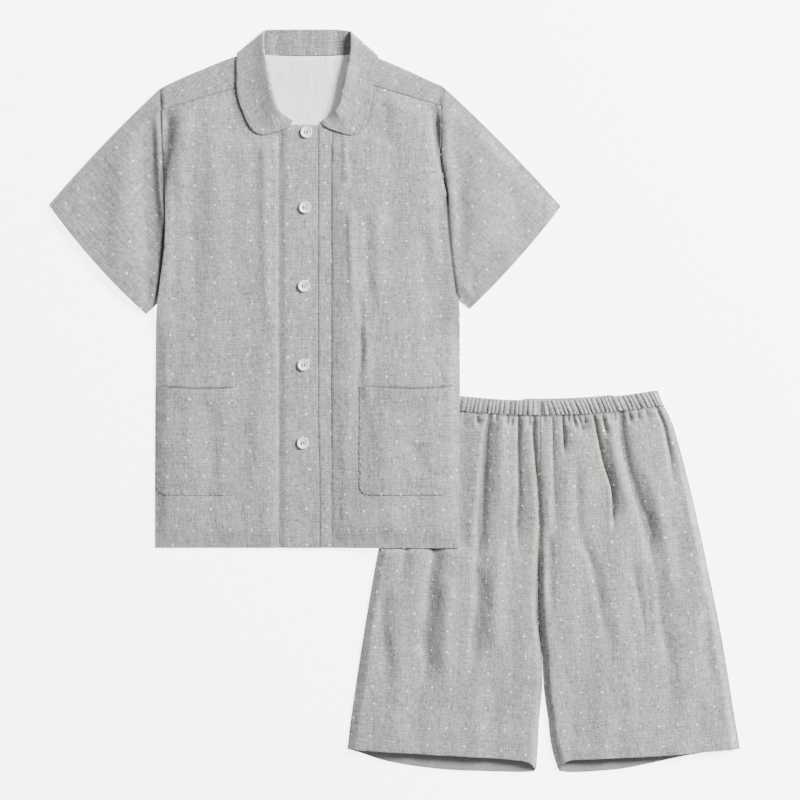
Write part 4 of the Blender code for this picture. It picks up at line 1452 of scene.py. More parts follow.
    def over_level(self, u: Places, v: Places) -> Places:
        """Middle of the over band's wall; its free edge lifts towards the hem.

        Args:
            u: Places across the shirt.
            v: Places up from its hem.

        Returns:
            Height in millimetres.
        """
        flick = smooth(v, 170, 60) * smooth(u, self.band_left + 20, self.band_right)
        flick = self.band_flick * flick
        valley = self.band_valley * bell(u - self.band_left, 5.4)
        slack = self.lift_slack * smooth(self.lift(u, v), 0, 1)
        return self.back_level(u, v) + 2 * LAYER + flick + slack + self.band_lift - valley

    def under_level(self, u: Places, v: Places) -> Places:
        """Middle of the under band's wall."""
        slack = self.lift_slack * smooth(self.lift(u, v), 0, 1)
        return self.back_level(u, v) + LAYER + slack

    def band(self, name: str, left: float, right: float, level: Height) -> Sheet:
        """A front band, from the hem up to its end at the neckline.

        Args:
            name: Name of its node.
            left: Its edge on the viewer's left.
            right: Its edge on the viewer's right.
            level: Height of the middle of its wall at a place.

        Returns:
            The sheet.
        """
        share = spaced(self.band_width, self.band_pitch)
        up = np.linspace(0, 1, self.band_rows)
        u = left + (right - left) * share
        v = self.band_top(u) * up[:, None]
        inward = self.band_taper * smooth(v, 90, 150) if left == self.band_left else 0.0 * v
        plan = np.stack((u[None, :] - inward * share[None, :], v), axis=2)
        height = level(plan[..., 0], plan[..., 1])
        # Painted shadow on the under band beside the over band's edge
        gap = plan[..., 0] - self.band_right + self.band_taper * smooth(v, 90, 150)
        shade = 0.8 * smooth(gap, 3, 1.4) if left > self.band_left else None
        return Sheet(name, self.points(plan, height), plan, rests_on=("shirt_back",), shade=shade,
                     lined=False)

    def sleeve_shares(self) -> tuple[np.ndarray, np.ndarray]:
        """Shares of the way across a sleeve and down it."""
        across = spaced(self.sleeve_across, self.sleeve_pitch)
        return across, spaced(self.sleeve_down, self.sleeve_pitch + 0.1, end=False)

    def sleeve(self, side: Side) -> Sheet:
        """A short sleeve: one tube of cloth lying flat, open at the armhole and at the hem.

        Args:
            side: The side of the shirt.

        Returns:
            The sheet.
        """
        sign = side.sign
        armhole = through([(sign * out, v) for v, out in reversed(side.armhole)])
        ends = armhole(np.array((0.0, 1.0)))
        hem_high = (sign * side.hem_high[0], side.hem_high[1])
        hem_low = (sign * side.hem_low[0], side.hem_low[1])
        share, down = self.sleeve_shares()
        columns = len(share)
        plan = patch(
            bowed(ends[0], hem_high, sign * 3.0), straight(ends[1], hem_low),
            armhole, bowed(hem_high, hem_low, sign * side.hem_bow), share, down,
        )
        u, v = plan[..., 0], plan[..., 1]
        hollow = np.sin(math.pi * share)[None] ** 0.8 * smooth(down, 0.1, 0.5)[:, None]
        rise = self.sleeve_loft + self.sleeve_puff * hollow + relief(u, v, side.sleeve_folds)
        rise = rise + rippled(0.75 * u, 1.1 * v, SHIRT_WAVES) * smooth(down, 0.05, 0.25)[:, None]
        rise = settled(rise) * (smooth(share, 0, 0.1) * smooth(share, 1, 0.9))[None]
        level_start = 0.15 + 0.75 * smooth(v, 470, 505)
        rise = rise * (level_start + (1 - level_start) * smooth(down, 0, 0.045)[:, None])
        off = (down * self.sleeve_down)[:, None]
        hem_line = self.sleeve_down - self.sleeve_hem
        rise = rise - 0.5 * bell(off, 1.5) - 0.35 * bell(off - hem_line, 1.2)
        front = self.points(plan, FLOOR_LEVEL + LAYER + np.maximum(rise, -0.36))
        # Painted shade on the sleeve: along the armhole seam, in the slit under the body's edge,
        # beside the body and at the armhole
        under_body = smooth(v, 300, 345) * smooth(v, 505, 470)
        body = np.where(v < self.underarm, read(side.edge, v), read(side.armhole, v))
        beyond = sign * u - body
        shade = bell(off, 1.6) * 0.6 + 1.3 * bell(np.maximum(beyond - 0.8, 0), 2.6) * under_body
        beside = side.fold_shade * bell(np.maximum(beyond, 0), 17)
        shade = shade + beside * smooth(v, 300, 380) * smooth(v, 560, 470)
        arm = side.arm_shade * bell(off, 4.5)
        shade = shade + arm * smooth(v, 425, 450) * smooth(v, 560, 520)
        under = plan.copy()
        start = plan[0] - plan[1]
        under[0] += self.sleeve_tuck * start / np.linalg.norm(start, axis=1)[:, None]
        back = self.points(under, np.full_like(u, FLOOR_LEVEL))
        high = self.fold_over(plan[:, 0], plan[:, 0] - plan[:, 1])
        low = self.fold_over(plan[:, -1], plan[:, -1] - plan[:, -2])
        ring = np.concatenate((high[:, ::-1], front, low, back[:, ::-1]), axis=1)
        cut = self.sleeve_cut(plan, sign)
        hem_part = (self.sleeve_hem + 2.0) / self.sleeve_down
        near_arm = down < (self.sleeve_hem - 1.0) / self.sleeve_down
        ends = (down > 1 - hem_part) | near_arm
        hem = np.broadcast_to(ends[:, None], ring.shape[:2]).astype(float)
        full = np.zeros(ring.shape[:2])
        full[:, 2:columns + 2] = np.clip(shade, 0, 1)
        # Painted shade on the back layer near the armhole, where the gap shows it
        full[:, columns + 4:] = near_arm[:, None]
        return Sheet("sleeve_" + side.name, ring, cut, Outside.UP, Held.FOLDED, ring=True,
                     hem=hem, shade=0.85 * full)

    def sleeve_cut(self, plan: np.ndarray, sign: int) -> np.ndarray:
        """Places on the cut of a sleeve, its back layer opened out past the underarm fold.

        Args:
            plan: Plan points of the sleeve's front layer.
            sign: The side of the shirt.

        Returns:
            One place for each column of the ring, and one that closes it.
        """
        low, run = plan[0, -1], plan[-1, -1] - plan[0, -1]
        run = run / np.linalg.norm(run)
        beside = np.array((-run[1], run[0]))
        step = np.sign((plan[0, 0] - low) @ beside)
        off = (plan[:, ::-1] - low) @ beside
        back = plan[:, ::-1] - 2 * off[..., None] * beside - 3 * step * beside
        before = np.stack([plan[:, 0] + step * beside * turned for turned in (2, 1)], axis=1)
        after = np.stack([plan[:, -1] - step * beside * turned for turned in (1, 2)], axis=1)
        close = back[:, -1:] - step * beside
        cut = np.concatenate((before, plan, after, back, close), axis=1)
        turn = math.radians(self.sleeve_grain) * sign
        return cut @ np.array(((math.cos(turn), math.sin(turn)), (-math.sin(turn), math.cos(turn))))

    def fold_over(self, edge: np.ndarray, outward: np.ndarray) -> np.ndarray:
        """Two points on the half circle where a flat tube turns over, at each row.

        Args:
            edge: Plan points along the fold.
            outward: Direction away from the cloth at each of them.

        Returns:
            Points by row, the upper one first.
        """
        run = outward / np.linalg.norm(outward, axis=1)[:, None]
        columns = []
        for angle in (math.pi / 3, -math.pi / 3):
            place = edge + run * LAYER / 2 * math.cos(angle)
            level = np.full(len(edge), FLOOR_LEVEL + LAYER / 2 * (1 + math.sin(angle)))
            columns.append(self.points(place[None], level[None])[0])
        return np.stack(columns, axis=1)

    def collar_line(self, rib: Rib, side: Side) -> np.ndarray:
        """Points across the collar at one rib, from the neck seam over the roll to the edge.

        Args:
            rib: Where the line runs.
            side: The side of the shirt.

        Returns:
            Points in millimetres.
        """
        sign = side.sign
        seam = np.array((rib.seam_u, rib.seam_v))
        roll = np.array((rib.roll_u, rib.roll_v))
        edge = np.array((rib.edge_u, rib.edge_v))
        edge[1] -= side.collar_dip * smooth(edge[1], 605, 636) * smooth(edge[0], 60, 90)
        narrow = smooth(edge[1], 545, 585) * smooth(edge[1], 640, 612)
        edge[0] -= side.leaf_narrow * narrow
        roll[1] -= 0.3 * side.collar_dip * smooth(roll[1], 650, 672) * smooth(roll[0], 30, 55)
        turn = math.asin(min(max(2 * rib.over - 1, -1.0), 1.0))
        run = (seam + edge) / 2 - roll
        run = run / np.linalg.norm(run)
        beside = np.array((-run[1], run[0]))

        def front(place: np.ndarray) -> float:
            """Middle of the cloth that the leaf lies on."""
            return float(self.front_base(sign * place[0], place[1], side)) + self.leaf_rest

        def back(place: np.ndarray) -> float:
            """Middle of the back's wall."""
            return float(self.back_level(sign * place[0], place[1]))

        seam_z = back(seam) + (front(seam) - back(seam)) * rib.over
        centre = (back(roll) - rib.radius) * (1 - rib.over) + (front(roll) + rib.radius) * rib.over
        full = rib.radius + self.roll_fullness * rib.over * smooth(rib.edge_u, 28, 60)
        centre = centre + (full - rib.radius) * rib.over
        row = []
        middle = np.array((*(roll - beside * rib.radius * math.cos(turn)),
                           centre - full * math.sin(turn)))
        start = np.array((*seam, seam_z))
        for share in np.linspace(0, 1, 9)[:-1]:
            row.append(start + (middle - start) * share)
        for angle in np.linspace(-math.pi / 2, math.pi / 2, 7):
            swing = rib.radius * math.sin(angle)
            place = roll + beside * swing * math.cos(turn)
            place = place - run * rib.radius * math.cos(angle)
            row.append(np.array((*place, centre + full * math.sin(angle) * math.sin(turn))))
        first = row[-1]
        for share in np.linspace(0, 1, 15)[1:]:
            place = first[:2] + (edge - first[:2]) * share
            spare = (first[2] - front(roll) - LAYER) * (1 - share) ** 2
            edge_lift = self.leaf_lift * smooth(share, 0.35, 1) * smooth(rib.edge_u, 26, 60)
            above = front(place) + LAYER + self.leaf_gap + max(spare, 0.0) + edge_lift
            row.append(np.array((*place, FLOOR_LEVEL + (above - FLOOR_LEVEL) * rib.over)))
        line = np.array(row)
        return line * (sign, 1, 1) + (SHIRT_X, SHIRT_Y, 0)

    def collar(self) -> Sheet:
        """Rounded one-piece collar: its leaves on the fronts, its fall under the back.

        Returns:
            The sheet.
        """
        last = len(COLLAR) - 1
        fine = np.linspace(0, last, last * self.collar_steps + 1)
        ribs = [Rib(*row) for row in hermite(np.arange(last + 1.0), np.array(COLLAR), fine)]
        rows = [self.collar_line(rib, RIGHT) for rib in ribs]
        rows += [self.collar_line(rib, LEFT) for rib in reversed(ribs[:-1])]
        points = np.array(rows)
        run = np.linalg.norm(np.diff(points[:, 12], axis=0), axis=1)
        along = np.concatenate(([0.0], np.cumsum(run)))
        across = np.linalg.norm(np.diff(points, axis=1), axis=2)
        across = np.concatenate((np.zeros((len(points), 1)), np.cumsum(across, axis=1)), axis=1)
        cut = np.stack(np.broadcast_arrays(along[:, None], across), axis=2)
        u = points[..., 0] - SHIRT_X
        # Painted shade on the stand: darker overall, with darker streaks at its creases and its ends
        stand = smooth(points[..., 1] - SHIRT_Y, 630, 641) * smooth(np.abs(u), 62, 54)
        stand = stand * (np.arange(points.shape[1]) < 11)
        crease_shade = 0.30 * bell(u + 32, 5) + 0.16 * bell(u - 12, 7) + 0.32 * smooth(u, 28, 50)
        crease_shade = crease_shade + 0.3 * smooth(u, -44, -54) + 0.1 * np.sin(0.31 * u + 1)
        return Sheet("collar", points, cut, Outside.DOWN, Held.FOLDED,
                     ("shirt_front_right", "shirt_front_left"), lined=False,
                     shade=stand * np.clip(0.12 + crease_shade, 0, 1))

    def mouth_line(self, u: Places, pocket: Pocket) -> Places:
        """Height of a pocket's mouth, which bows down between its corners."""
        share = np.clip((u - pocket.left) / (pocket.right - pocket.left), 0, 1)
        wave = self.mouth_wave * np.sin(5.0 * share + 1.0)
        return pocket.high - self.mouth_bow * np.sin(math.pi * share) + wave

    def pocket(self, side: Side) -> Sheet:
        """A patch pocket with rounded lower corners, lying on its front.

        Args:
            side: The side of the shirt.

        Returns:
            The sheet.
        """
        pocket = side.pocket
        width = pocket.right - pocket.left
        height = pocket.high - pocket.low
        corner = self.pocket_corner
        ends = np.linspace(0, corner, 9) ** 2 / corner
        across = np.concatenate((
            ends[:-1], np.linspace(corner, width - corner, 44), (width - ends[:-1])[::-1],
        ))
        up = np.concatenate((np.linspace(0, corner, 8)[:-1], np.linspace(corner, height, 60)))
        in_corner = np.maximum(corner - np.minimum(across, width - across), 0.0)
        low = corner - np.sqrt(np.maximum(corner * corner - in_corner * in_corner, 0.0))
        rise = up[:, None]
        place = across[None, :]
        u = pocket.left + place + 0 * rise
        v = pocket.low + low[None] + (height - low[None]) * rise / height
        arch = np.sin(math.pi * place / width)
        v = v + (self.mouth_line(u, pocket) - pocket.high) * (rise / height) ** 2
        mouth = self.mouth_puff * smooth(rise, height - 30, height) * arch**0.5
        around = np.minimum(np.minimum(place, width - place), rise - low[None] * (1 - rise / height))
        sewn = bell(around, 3)
        sewn_in = smooth(around, 0, 5)
        pucker = self.pocket_pucker * sewn * np.sin(0.75 * (u + v) + 1.5 * np.sin(0.2 * (u - v)))
        cushion = 1.0 * smooth(around, 1, 20) + relief(u, v, side.pocket_folds)
        flat = self.front_level(u, v, side) + self.pocket_rest - 0.25 * bell(around, 2)
        level = flat + mouth + pucker + settled(cushion) * sewn_in
        plan = np.stack((u, v), axis=2)
        return Sheet("pocket_" + side.name, self.points(plan, level), plan + (7.0, 9.0),
                     rests_on=("shirt_front_" + side.name,), lined=False)


def gather(path: Table, rise: float, width: float, spread: float = 2.0, out: float = 0.5) -> Fold:
    """A trough that starts at the waistband, steep on its left and easy on its right."""
    return Fold(path, 1.25 * rise, width, spread, 0.01, out, 0.6, crisp=True)


# Short gathers below the band: the drop and place where each starts and ends, rise and width
SHORT_GATHERS = (
    (-12, -152, 60, -160, -1.6, 3), (-10, -139, 90, -150, -1.8, 3),
    (-8, -124, 70, -132, -1.6, 3), (-6, -110, 110, -120, -1.6, 3),
    (-5, -99, 24, -100, -2.2, 2.4), (-3, -83, 20, -79.5, -2.4, 2.4),
    (-2, -57, 12, -57.5, -1.8, 2), (0, -43, 18, -42.5, -2.4, 2.2),
    (0, -36, 20, -38, -1.3, 2), (0, -15, 20, -14.5, -1.6, 2),
    (0, 5, 16, 4.6, -1.5, 2), (0, 36, 14, 37, -1.6, 2),
    (0, 42.4, 24, 48, -2.4, 2.2), (0, 57, 16, 58.5, -1.8, 2),
    (0, 80, 33, 88.5, -1.8, 2.2), (-2, 90, 14, 91, -1.6, 2),
    (-3, 96, 12, 97, -1.5, 2), (-7, 114.6, 16, 118.5, -2.2, 2.2),
    (-8, 126, 12, 128, -1.8, 2), (-10, 137, 10, 139, -1.5, 2),
)

LEG_FOLDS = (
    *(gather(((top, start), (end, stop)), rise, width)
      for top, start, end, stop, rise, width in SHORT_GATHERS),
    gather(((-4, -65.5), (24, -71), (54, -73), (92, -75.5), (128, -77.5), (165, -79), (215, -84)),
           -4.6, 3, 4, 0.35),
    gather(((0, -28.5), (33, -29), (72, -28.5), (98, -28), (135, -30), (195, -27)),
           -3.6, 2.4, 2.6, 0.35),
    gather(((0, -8.6), (27, -9.4), (54, -7), (92, -3.6), (157, 0.6), (200, 0.2)),
           -3.4, 2.6, 2.4, 0.3),
    gather(((3, 15.5), (82, 17.5), (125, 18.5), (160, 17)), -2, 3, 2.6, 0.4),
    gather(((0, 28.4), (37, 30.6), (60, 32)), -3.4, 2, 1.8),
    gather(((0, 48), (13, 54), (30, 55)), -1.8, 2.2),
    Fold(((50, 47), (92, 48), (137, 49), (180, 55)), -1.6, 6, 1.5, 0.3),
    gather(((0, 69), (33, 75.5), (62, 82), (80, 88), (96, 92.6), (129, 94.5), (165, 95)),
           -3.4, 2, 1.8, 0.35),
    gather(((-6, 104), (24, 105), (54, 110), (82, 117.4), (105, 123.6), (135, 134), (168, 142),
            (212, 146)), -4.8, 3, 4.2, 0.3),
    gather(((-14, 149), (-2, 154.4), (15, 161), (33, 165), (54, 169), (110, 176)),
           -3.2, 3, 2.6, 0.5),
    Fold(((-5, -50), (60, -52), (130, -52)), 1.3, 6, 1.8, 0.05),
    Fold(((-5, 88), (60, 98), (110, 112), (150, 120)), 1.6, 5, 2, 0.05),
    Fold(((60, 135), (120, 152), (180, 165), (260, 175)), 1.6, 8, 1.5),
    Fold(((118, -176), (174, -175), (202, -179), (235, -182)), -2.2, 6, 1.4, 0.2, 0.4, 0.7),
    Fold(((118, -138), (178, -137.5), (211, -143), (260, -147), (299, -151), (328, -147.5),
          (358, -155), (397, -174)), -3.4, 8.5, 1.2, 0.15, 0.4, 0.7),
    Fold(((190, -82), (240, -81), (289, -86.5), (320, -87), (360, -92)), -2.8, 8, 1.2, 0.2, 0.4, 0.7),
    Fold(((215, -201), (272, -205), (328, -199), (372, -202)), -1.4, 8, 1.2),
    Fold(((200, -120), (280, -122), (360, -126)), 1.4, 11, 1.2),
    Fold(((160, -52), (230, -56), (320, -60)), 1.4, 10, 1.3),
    Fold(((300, -60), (360, -64), (430, -66)), -0.9, 12, 1.2),
    Fold(((170, 112), (239, 128), (280, 136), (340, 140)), -1.5, 5, 1.3, 0.4, 0.5, 0.7),
    Fold(((190, 136), (259, 142.5), (310, 147)), -1, 3.6, 1.3, 0.4, 0.5, 0.8),
    Fold(((180, 146), (259, 155), (310, 164), (390, 176)), -1.6, 6, 1.6, 0.4, 0.5, 0.7),
    Fold(((150, 12), (216, 13), (260, 14)), -1.5, 5, 1.3),
    Fold(((150, 50), (202, 68), (239, 75), (270, 81), (330, 88)), -1.8, 6, 1.4, 0.2, 0.4, 0.7),
    Fold(((230, 214), (305, 216), (360, 222)), -1.2, 7, 1.3),
    Fold(((240, 100), (320, 108), (420, 112)), 1, 13, 1.3),
    Fold(((330, 40), (380, 42), (440, 44)), -0.8, 12, 1.2),
    Fold(((340, 170), (390, 176), (436, 180)), -0.8, 12, 1.2),
)

LEG_WAVES = (
    Wave(0.118, 0.010, 0.9, 0.60),
    Wave(0.19, -0.012, 3.1, 0.26),
    Wave(0.068, 0.008, 5.0, 0.60),
    Wave(0.31, 0.02, 2.0, 0.09),
)

INSEAMS = (
    (0, -0.2, 0.2), (204, -2.8, -2.4), (262, -3.3, -1.9), (312, 2.0, 2.6), (350, 3.0, 4.4),
    (370, 1.3, 6.5), (396, -1.3, 10.4), (422, -2.6, 13.2), (442, -3.8, 17.4),
)


class Leg(NamedTuple):
    """One leg, by the wearer's side: its hems run from the inseam out."""

    name: str
    sign: int
    hem_front: Table
    hem_back: Table


LEGS = (
    Leg(
        "right", -1,
        ((-5, 462.4), (-14.8, 451.4), (-52, 446.2), (-150, 440.5), (-250.6, 434.4)),
        ((-7, 463.6), (-24, 464.8), (-71, 463.6), (-116, 462), (-160, 457.4), (-203, 449.6),
         (-234, 439.6), (-250.6, 434.6)),
    ),
    Leg(
        "left", 1,
        ((23.2, 460.4), (35.6, 449.8), (60, 447.2), (150, 442.8), (260, 434)),
        ((25, 463.6), (42, 465), (78, 463.2), (109, 460), (140, 454), (190, 443.4),
         (230, 437), (260, 434.4)),
    ),
)


@dataclass
class Shorts:
    """The shorts: four leg panels and the ruched waistband."""

    finishes: Finishes
    waist_half: float = 159.0
    waist_half_top: float = 152.0
    band_height: float = 18.5
    sag: float = 5.2e-4
    ruches: int = 54
    ruche_steps: int = 11
    ruche_depth: float = 2.4
    flat_middle: float = -1.3
    flat_spot: float = 5.0
    gather_puff: float = 1.3
    free_puff: float = 4.6
    fold_scale: float = 1.8
    under_shirt: float = 2.8
    beyond_shirt: float = 9.0
    mouth: float = 2.0
    hem_turn: float = 22.0
    hem_depth: float = 19.0
    length: float = 460.0
    panel: float = 225.0
    cut_waist: float = 205.0
    cut_flare: float = 52.0
    band_fullness: float = 1.35
    back_columns: int = 220

    def points(self, plan: np.ndarray, level: np.ndarray) -> np.ndarray:
        """Plan points of the shorts, as u and drop, in the object's frame."""
        return np.dstack((plan[..., 0] + SHORTS_X, SHORTS_Y - plan[..., 1], level))

    def waist_drop(self, u: Places) -> Places:
        """Drop of the waistband's lower seam, which hangs in a shallow curve."""
        return -self.sag * u * u

    def build(self) -> None:
        """Make every piece of the shorts."""
        for leg in LEGS:
            front = self.leg_front(leg)
            front.build(self.finishes)
            heights = -front.cut[:, 0, 1]
            row = np.interp(self.length - self.hem_depth, heights, np.arange(front.rows))
            stitches = front.line(row, np.arange(1, front.columns - 1.0))
            self.finishes.sewing.sew(front.name, [stitches])
            self.leg_back(leg).build(self.finishes)
        self.waistband().build(self.finishes)

    def edges(self, leg: Leg, hem: Table, meeting: bool = False) -> tuple[Edge, Edge, Edge, Edge]:
        """Plan edges of a leg's panel: inseam, outer edge, waist and hem, each from 0 to 1.

        Args:
            leg: The leg.
            hem: Points along its hem, from the inseam out.
            meeting: Whether the two legs' panels meet in the middle above the fork.

        Returns:
            The four edges.
        """
        column = 1 if leg.sign < 0 else 2
        inner_table = [(row[0], row[column]) for row in INSEAMS] + [(hem[0][1], hem[0][0])]
        if meeting:
            seams = zip(inner_table, INSEAMS + INSEAMS[-1:])
            inner_table = [(drop, u if drop > 345 else (left + right) / 2 + leg.sign * 0.05)
                           for (drop, u), (_, left, right) in seams]
        outer_table = [(row.drop, leg.sign * row[column]) for row in FLARES[:-1]]
        outer_table.append((hem[-1][1], hem[-1][0]))
        start = self.waist_drop(self.waist_half) + GAP

        def inner(share: np.ndarray) -> np.ndarray:
            """Centre seam and inseam, from the waist down."""
            drop = GAP + (hem[0][1] - GAP) * share
            return np.stack((eased(inner_table, drop), drop), axis=1)

        def outer(share: np.ndarray) -> np.ndarray:
            """Side of the leg, from the waist down."""
            drop = start + (hem[-1][1] - start) * share
            return np.stack((eased(outer_table, drop), drop), axis=1)

        def waist(share: np.ndarray) -> np.ndarray:
            """Top of the leg, along the waistband's seam."""
            u = leg.sign * (0.2 + (self.waist_half - 0.2) * share)
            return np.stack((u, self.waist_drop(u) + GAP), axis=1)

        return inner, outer, waist, through(hem)

    def leg_front(self, leg: Leg) -> Sheet:
        """Front panel of one leg, gathered below the waistband.

        Args:
            leg: The leg.

        Returns:
            The sheet.
        """
        inner, outer, waist, hem = self.edges(leg, leg.hem_front)
        across = spaced(self.panel, 2.0, end=False)
        down = np.linspace(0, 1, 190) ** 1.12
        plan = patch(inner, outer, waist, hem, across, down)
        u, drop = plan[..., 0], plan[..., 1]
        fall = drop - self.waist_drop(u)
        share = across[None]
        beside = smooth(u, -106, -76)
        free = np.maximum(beside, smooth(drop, 164, 182))
        loft = self.gather_puff + (self.free_puff - 0.9 * smooth(fall, 180, 380)) * free
        folds = relief(u, drop, LEG_FOLDS)
        rise = loft + self.fold_scale * folds * (0.3 + 0.7 * free)
        rise = rise + rippled(u, drop, LEG_WAVES) * smooth(fall, 15, 90) * (0.3 + 0.7 * free)
        mouth = self.mouth * smooth(fall, 385, 452) * np.sin(math.pi * share) ** 0.7
        rise = settled(rise) + mouth
        room = self.beyond_shirt * np.maximum(beside, smooth(drop, 172, 180))
        rise = np.minimum(rise, self.under_shirt + room)
        outer_fall = smooth(share, 1, 0.95)
        inner_fall = smooth(share * self.panel, -1, 6.0 + 6.0 * smooth(fall, 140, 200))
        inner_fall = 1 - (1 - inner_fall) * smooth(fall, 60, 150)
        rise = rise * outer_fall * inner_fall - 0.3 * (1 - outer_fall)
        off = share * self.panel
        rise = rise - 0.4 * bell(off, 1.4) * smooth(fall, 200, 60)
        hem_line = (1 - down[:, None]) * self.length - self.hem_depth
        rise = rise - 0.35 * bell(hem_line, 1.4)
        rise = rise * (0.4 + 0.6 * smooth(fall, 0, 9))
        level = FLOOR_LEVEL + LAYER + np.maximum(rise, -0.36)
        # Painted shade between the legs near the fork, along the waist seam, just under the waistband
        # and in the fold troughs
        shade = bell(off, 3.4) * smooth(fall, 150, 215) * smooth(fall, 345, 280)
        shade = np.maximum(shade, 0.8 * smooth(fall, 3, 0.6))
        painted_shade = smooth(-folds, 0.6, 4) * (0.32 + 0.3 * smooth(fall, 110, 10))
        shade = np.maximum(shade, painted_shade + 0.3 * bell(fall, 6))
        cut = self.panel_cut(leg, across, down)
        hem_share = np.broadcast_to(((1 - down) * self.length < self.hem_turn)[:, None], u.shape)
        return Sheet("shorts_front_" + leg.name, self.points(plan, level), cut, Outside.UP,
                     Held.GATHERED, ("shorts_back_" + leg.name,), hem=hem_share.astype(float),
                     shade=np.maximum(0.8 * shade, smooth(fall, 2.4, 1)))

    def panel_cut(self, leg: Leg, across: np.ndarray, down: np.ndarray) -> np.ndarray:
        """Places on the cut of a leg's panel, wider than the waist that it is gathered into.

        Args:
            leg: The leg.
            across: Shares of the way out.
            down: Shares of the way down.

        Returns:
            Places on the cut, by row and column.
        """
        width = self.cut_waist + self.cut_flare * down[:, None]
        places = np.broadcast_arrays(leg.sign * across[None] * width, -down[:, None] * self.length)
        return np.stack(places, axis=2)

    def leg_back(self, leg: Leg) -> Sheet:
        """Back panel of one leg, flat on the floor, its hem showing below the front's.

        Args:
            leg: The leg.

        Returns:
            The sheet.
        """
        inner, outer, waist, hem = self.edges(leg, leg.hem_back, meeting=True)
        across = np.linspace(0, 1, 56)
        down = np.linspace(0, 1, 100)
        plan = patch(inner, outer, waist, hem, across, down)
        plan[0, :, 1] -= 0.4
        level = np.full(plan.shape[:2], FLOOR_LEVEL)
        near_hem = ((1 - down) * self.length < self.hem_turn)[:, None]
        hem_share = np.broadcast_to(near_hem, level.shape).astype(float)
        # Painted shade: dark along the inner edge above the fork and along the waist row, where the
        # gaps show the back; lighter on the inside of the hem
        gap = (across[None] < 0.03) * smooth(down, 0.8, 0.7)[:, None] + (down < 0.03)[:, None]
        cut = self.panel_cut(leg, across, down)
        return Sheet("shorts_back_" + leg.name, self.points(plan, level), cut, Outside.DOWN,
                     hem=hem_share, shade=np.maximum(0.2 * hem_share, gap))

    def waistband(self) -> Sheet:
        """Elastic waistband: a ring of cloth lying flat, ruched across its front.

        Returns:
            The sheet.
        """
        count = self.ruches * self.ruche_steps
        steps = np.arange(count + 1)
        u = -self.waist_half + 2 * self.waist_half * steps / count
        fade = smooth(self.waist_half - np.abs(u), 0, 7)
        fade = fade * smooth(np.abs(u - self.flat_middle), self.flat_spot - 2.5, self.flat_spot + 2)
        phase = math.pi * steps / self.ruche_steps + 0.55 * np.sin(u * 0.21) + 0.5 * np.sin(u * 0.083)
        pleat = np.abs(np.sin(phase)) ** 0.55
        uneven = 0.8 + 0.2 * np.sin(u * 0.37 + 1.0)
        up = np.linspace(0, 1, 15)
        bulge = 4 * up * (1 - up)
        lean = 6.0 * smooth(u, 4, 14) * (1 - 0.35 * smooth(u, 40, 90)) * fade
        taper = 1 + (self.waist_half_top / self.waist_half - 1) * up[:, None]
        front_u = u[None] * taper - lean[None] * (up[:, None] - 0.5)
        scallop = (pleat - 0.6) * 0.5 * fade
        drop = self.waist_drop(u)[None] - GAP / 2 - self.band_height * up[:, None]
        drop = drop - scallop[None] * (2 * up[:, None] - 1)
        height = self.ruche_depth * (pleat * uneven * fade)[None] * (0.75 + 0.35 * bulge[:, None])
        level = FLOOR_LEVEL + LAYER + height + (0.5 + 1.2 * bulge[:, None]) * fade[None]
        front = self.points(np.stack((front_u, drop), axis=2), level)
        back_u = np.linspace(self.waist_half, -self.waist_half, self.back_columns)
        ruffle = np.abs(np.sin(back_u * math.pi / 5.9)) ** 0.55
        peek = smooth(back_u, -32, -16) * smooth(back_u, 108, 92)
        back_drop = self.waist_drop(back_u)[None] - GAP / 2 - self.band_height * up[:, None]
        back_drop = back_drop - (up**3)[:, None] * (peek * (2.1 + 0.7 * ruffle))[None]
        back_level = FLOOR_LEVEL + (0.3 * up[:, None] ** 3) * ruffle[None]
        back_plan = np.stack((back_u[None] * taper, back_drop), axis=2)
        back = self.points(back_plan, back_level)
        right = self.turn(u[-1], 1, up, taper[:, 0])
        left = self.turn(u[0], -1, up, taper[:, 0])
        ring = np.concatenate((front, right, back, left), axis=1)
        width = 2 * self.waist_half * self.band_fullness
        around = np.concatenate((
            width * (u + self.waist_half) / (2 * self.waist_half), [width + 1, width + 2],
            width + 3 + width * np.linspace(0, 1, self.back_columns),
            [2 * width + 4, 2 * width + 5],
            [2 * width + 6],
        ))
        cut = np.stack(np.broadcast_arrays(around[None], up[:, None] * (self.band_height + 1)), axis=2)
        # Painted shade in the hollows between the ruches
        shade = np.zeros(ring.shape[:2])
        shade[:, :count + 1] = (0.62 * smooth(pleat, 0.72, 0.3) * fade)[None]
        return Sheet("waistband", ring, cut, Outside.UP, Held.GATHERED, ring=True, lined=False,
                     shade=shade)

    def turn(self, u: float, sign: int, up: np.ndarray, taper: np.ndarray) -> np.ndarray:
        """Two points on the half circle where the flat band turns over, at each row.

        Args:
            u: Where the fold is at the lower seam.
            sign: The side of the shorts.
            up: Shares of the way up the band.
            taper: Width of the band at each of them.

        Returns:
            Points by row.
        """
        columns = []
        drop = self.waist_drop(u) - GAP / 2 - self.band_height * up
        for angle in (sign * math.pi / 4, -sign * math.pi / 4):
            place = u * taper + sign * LAYER / 2 * math.cos(angle)
            level = np.full(len(up), FLOOR_LEVEL + LAYER / 2 * (1 + math.sin(angle)))
            columns.append(np.stack((place + SHORTS_X, SHORTS_Y - drop, level), axis=1))
        return np.stack(columns, axis=1)


def choose(piece: bpy.types.Object) -> None:
    """Select one object only and make it active.

    Args:
        piece: The object.
    """
    bpy.ops.object.select_all(action="DESELECT")
    piece.select_set(True)
    bpy.context.view_layer.objects.active = piece


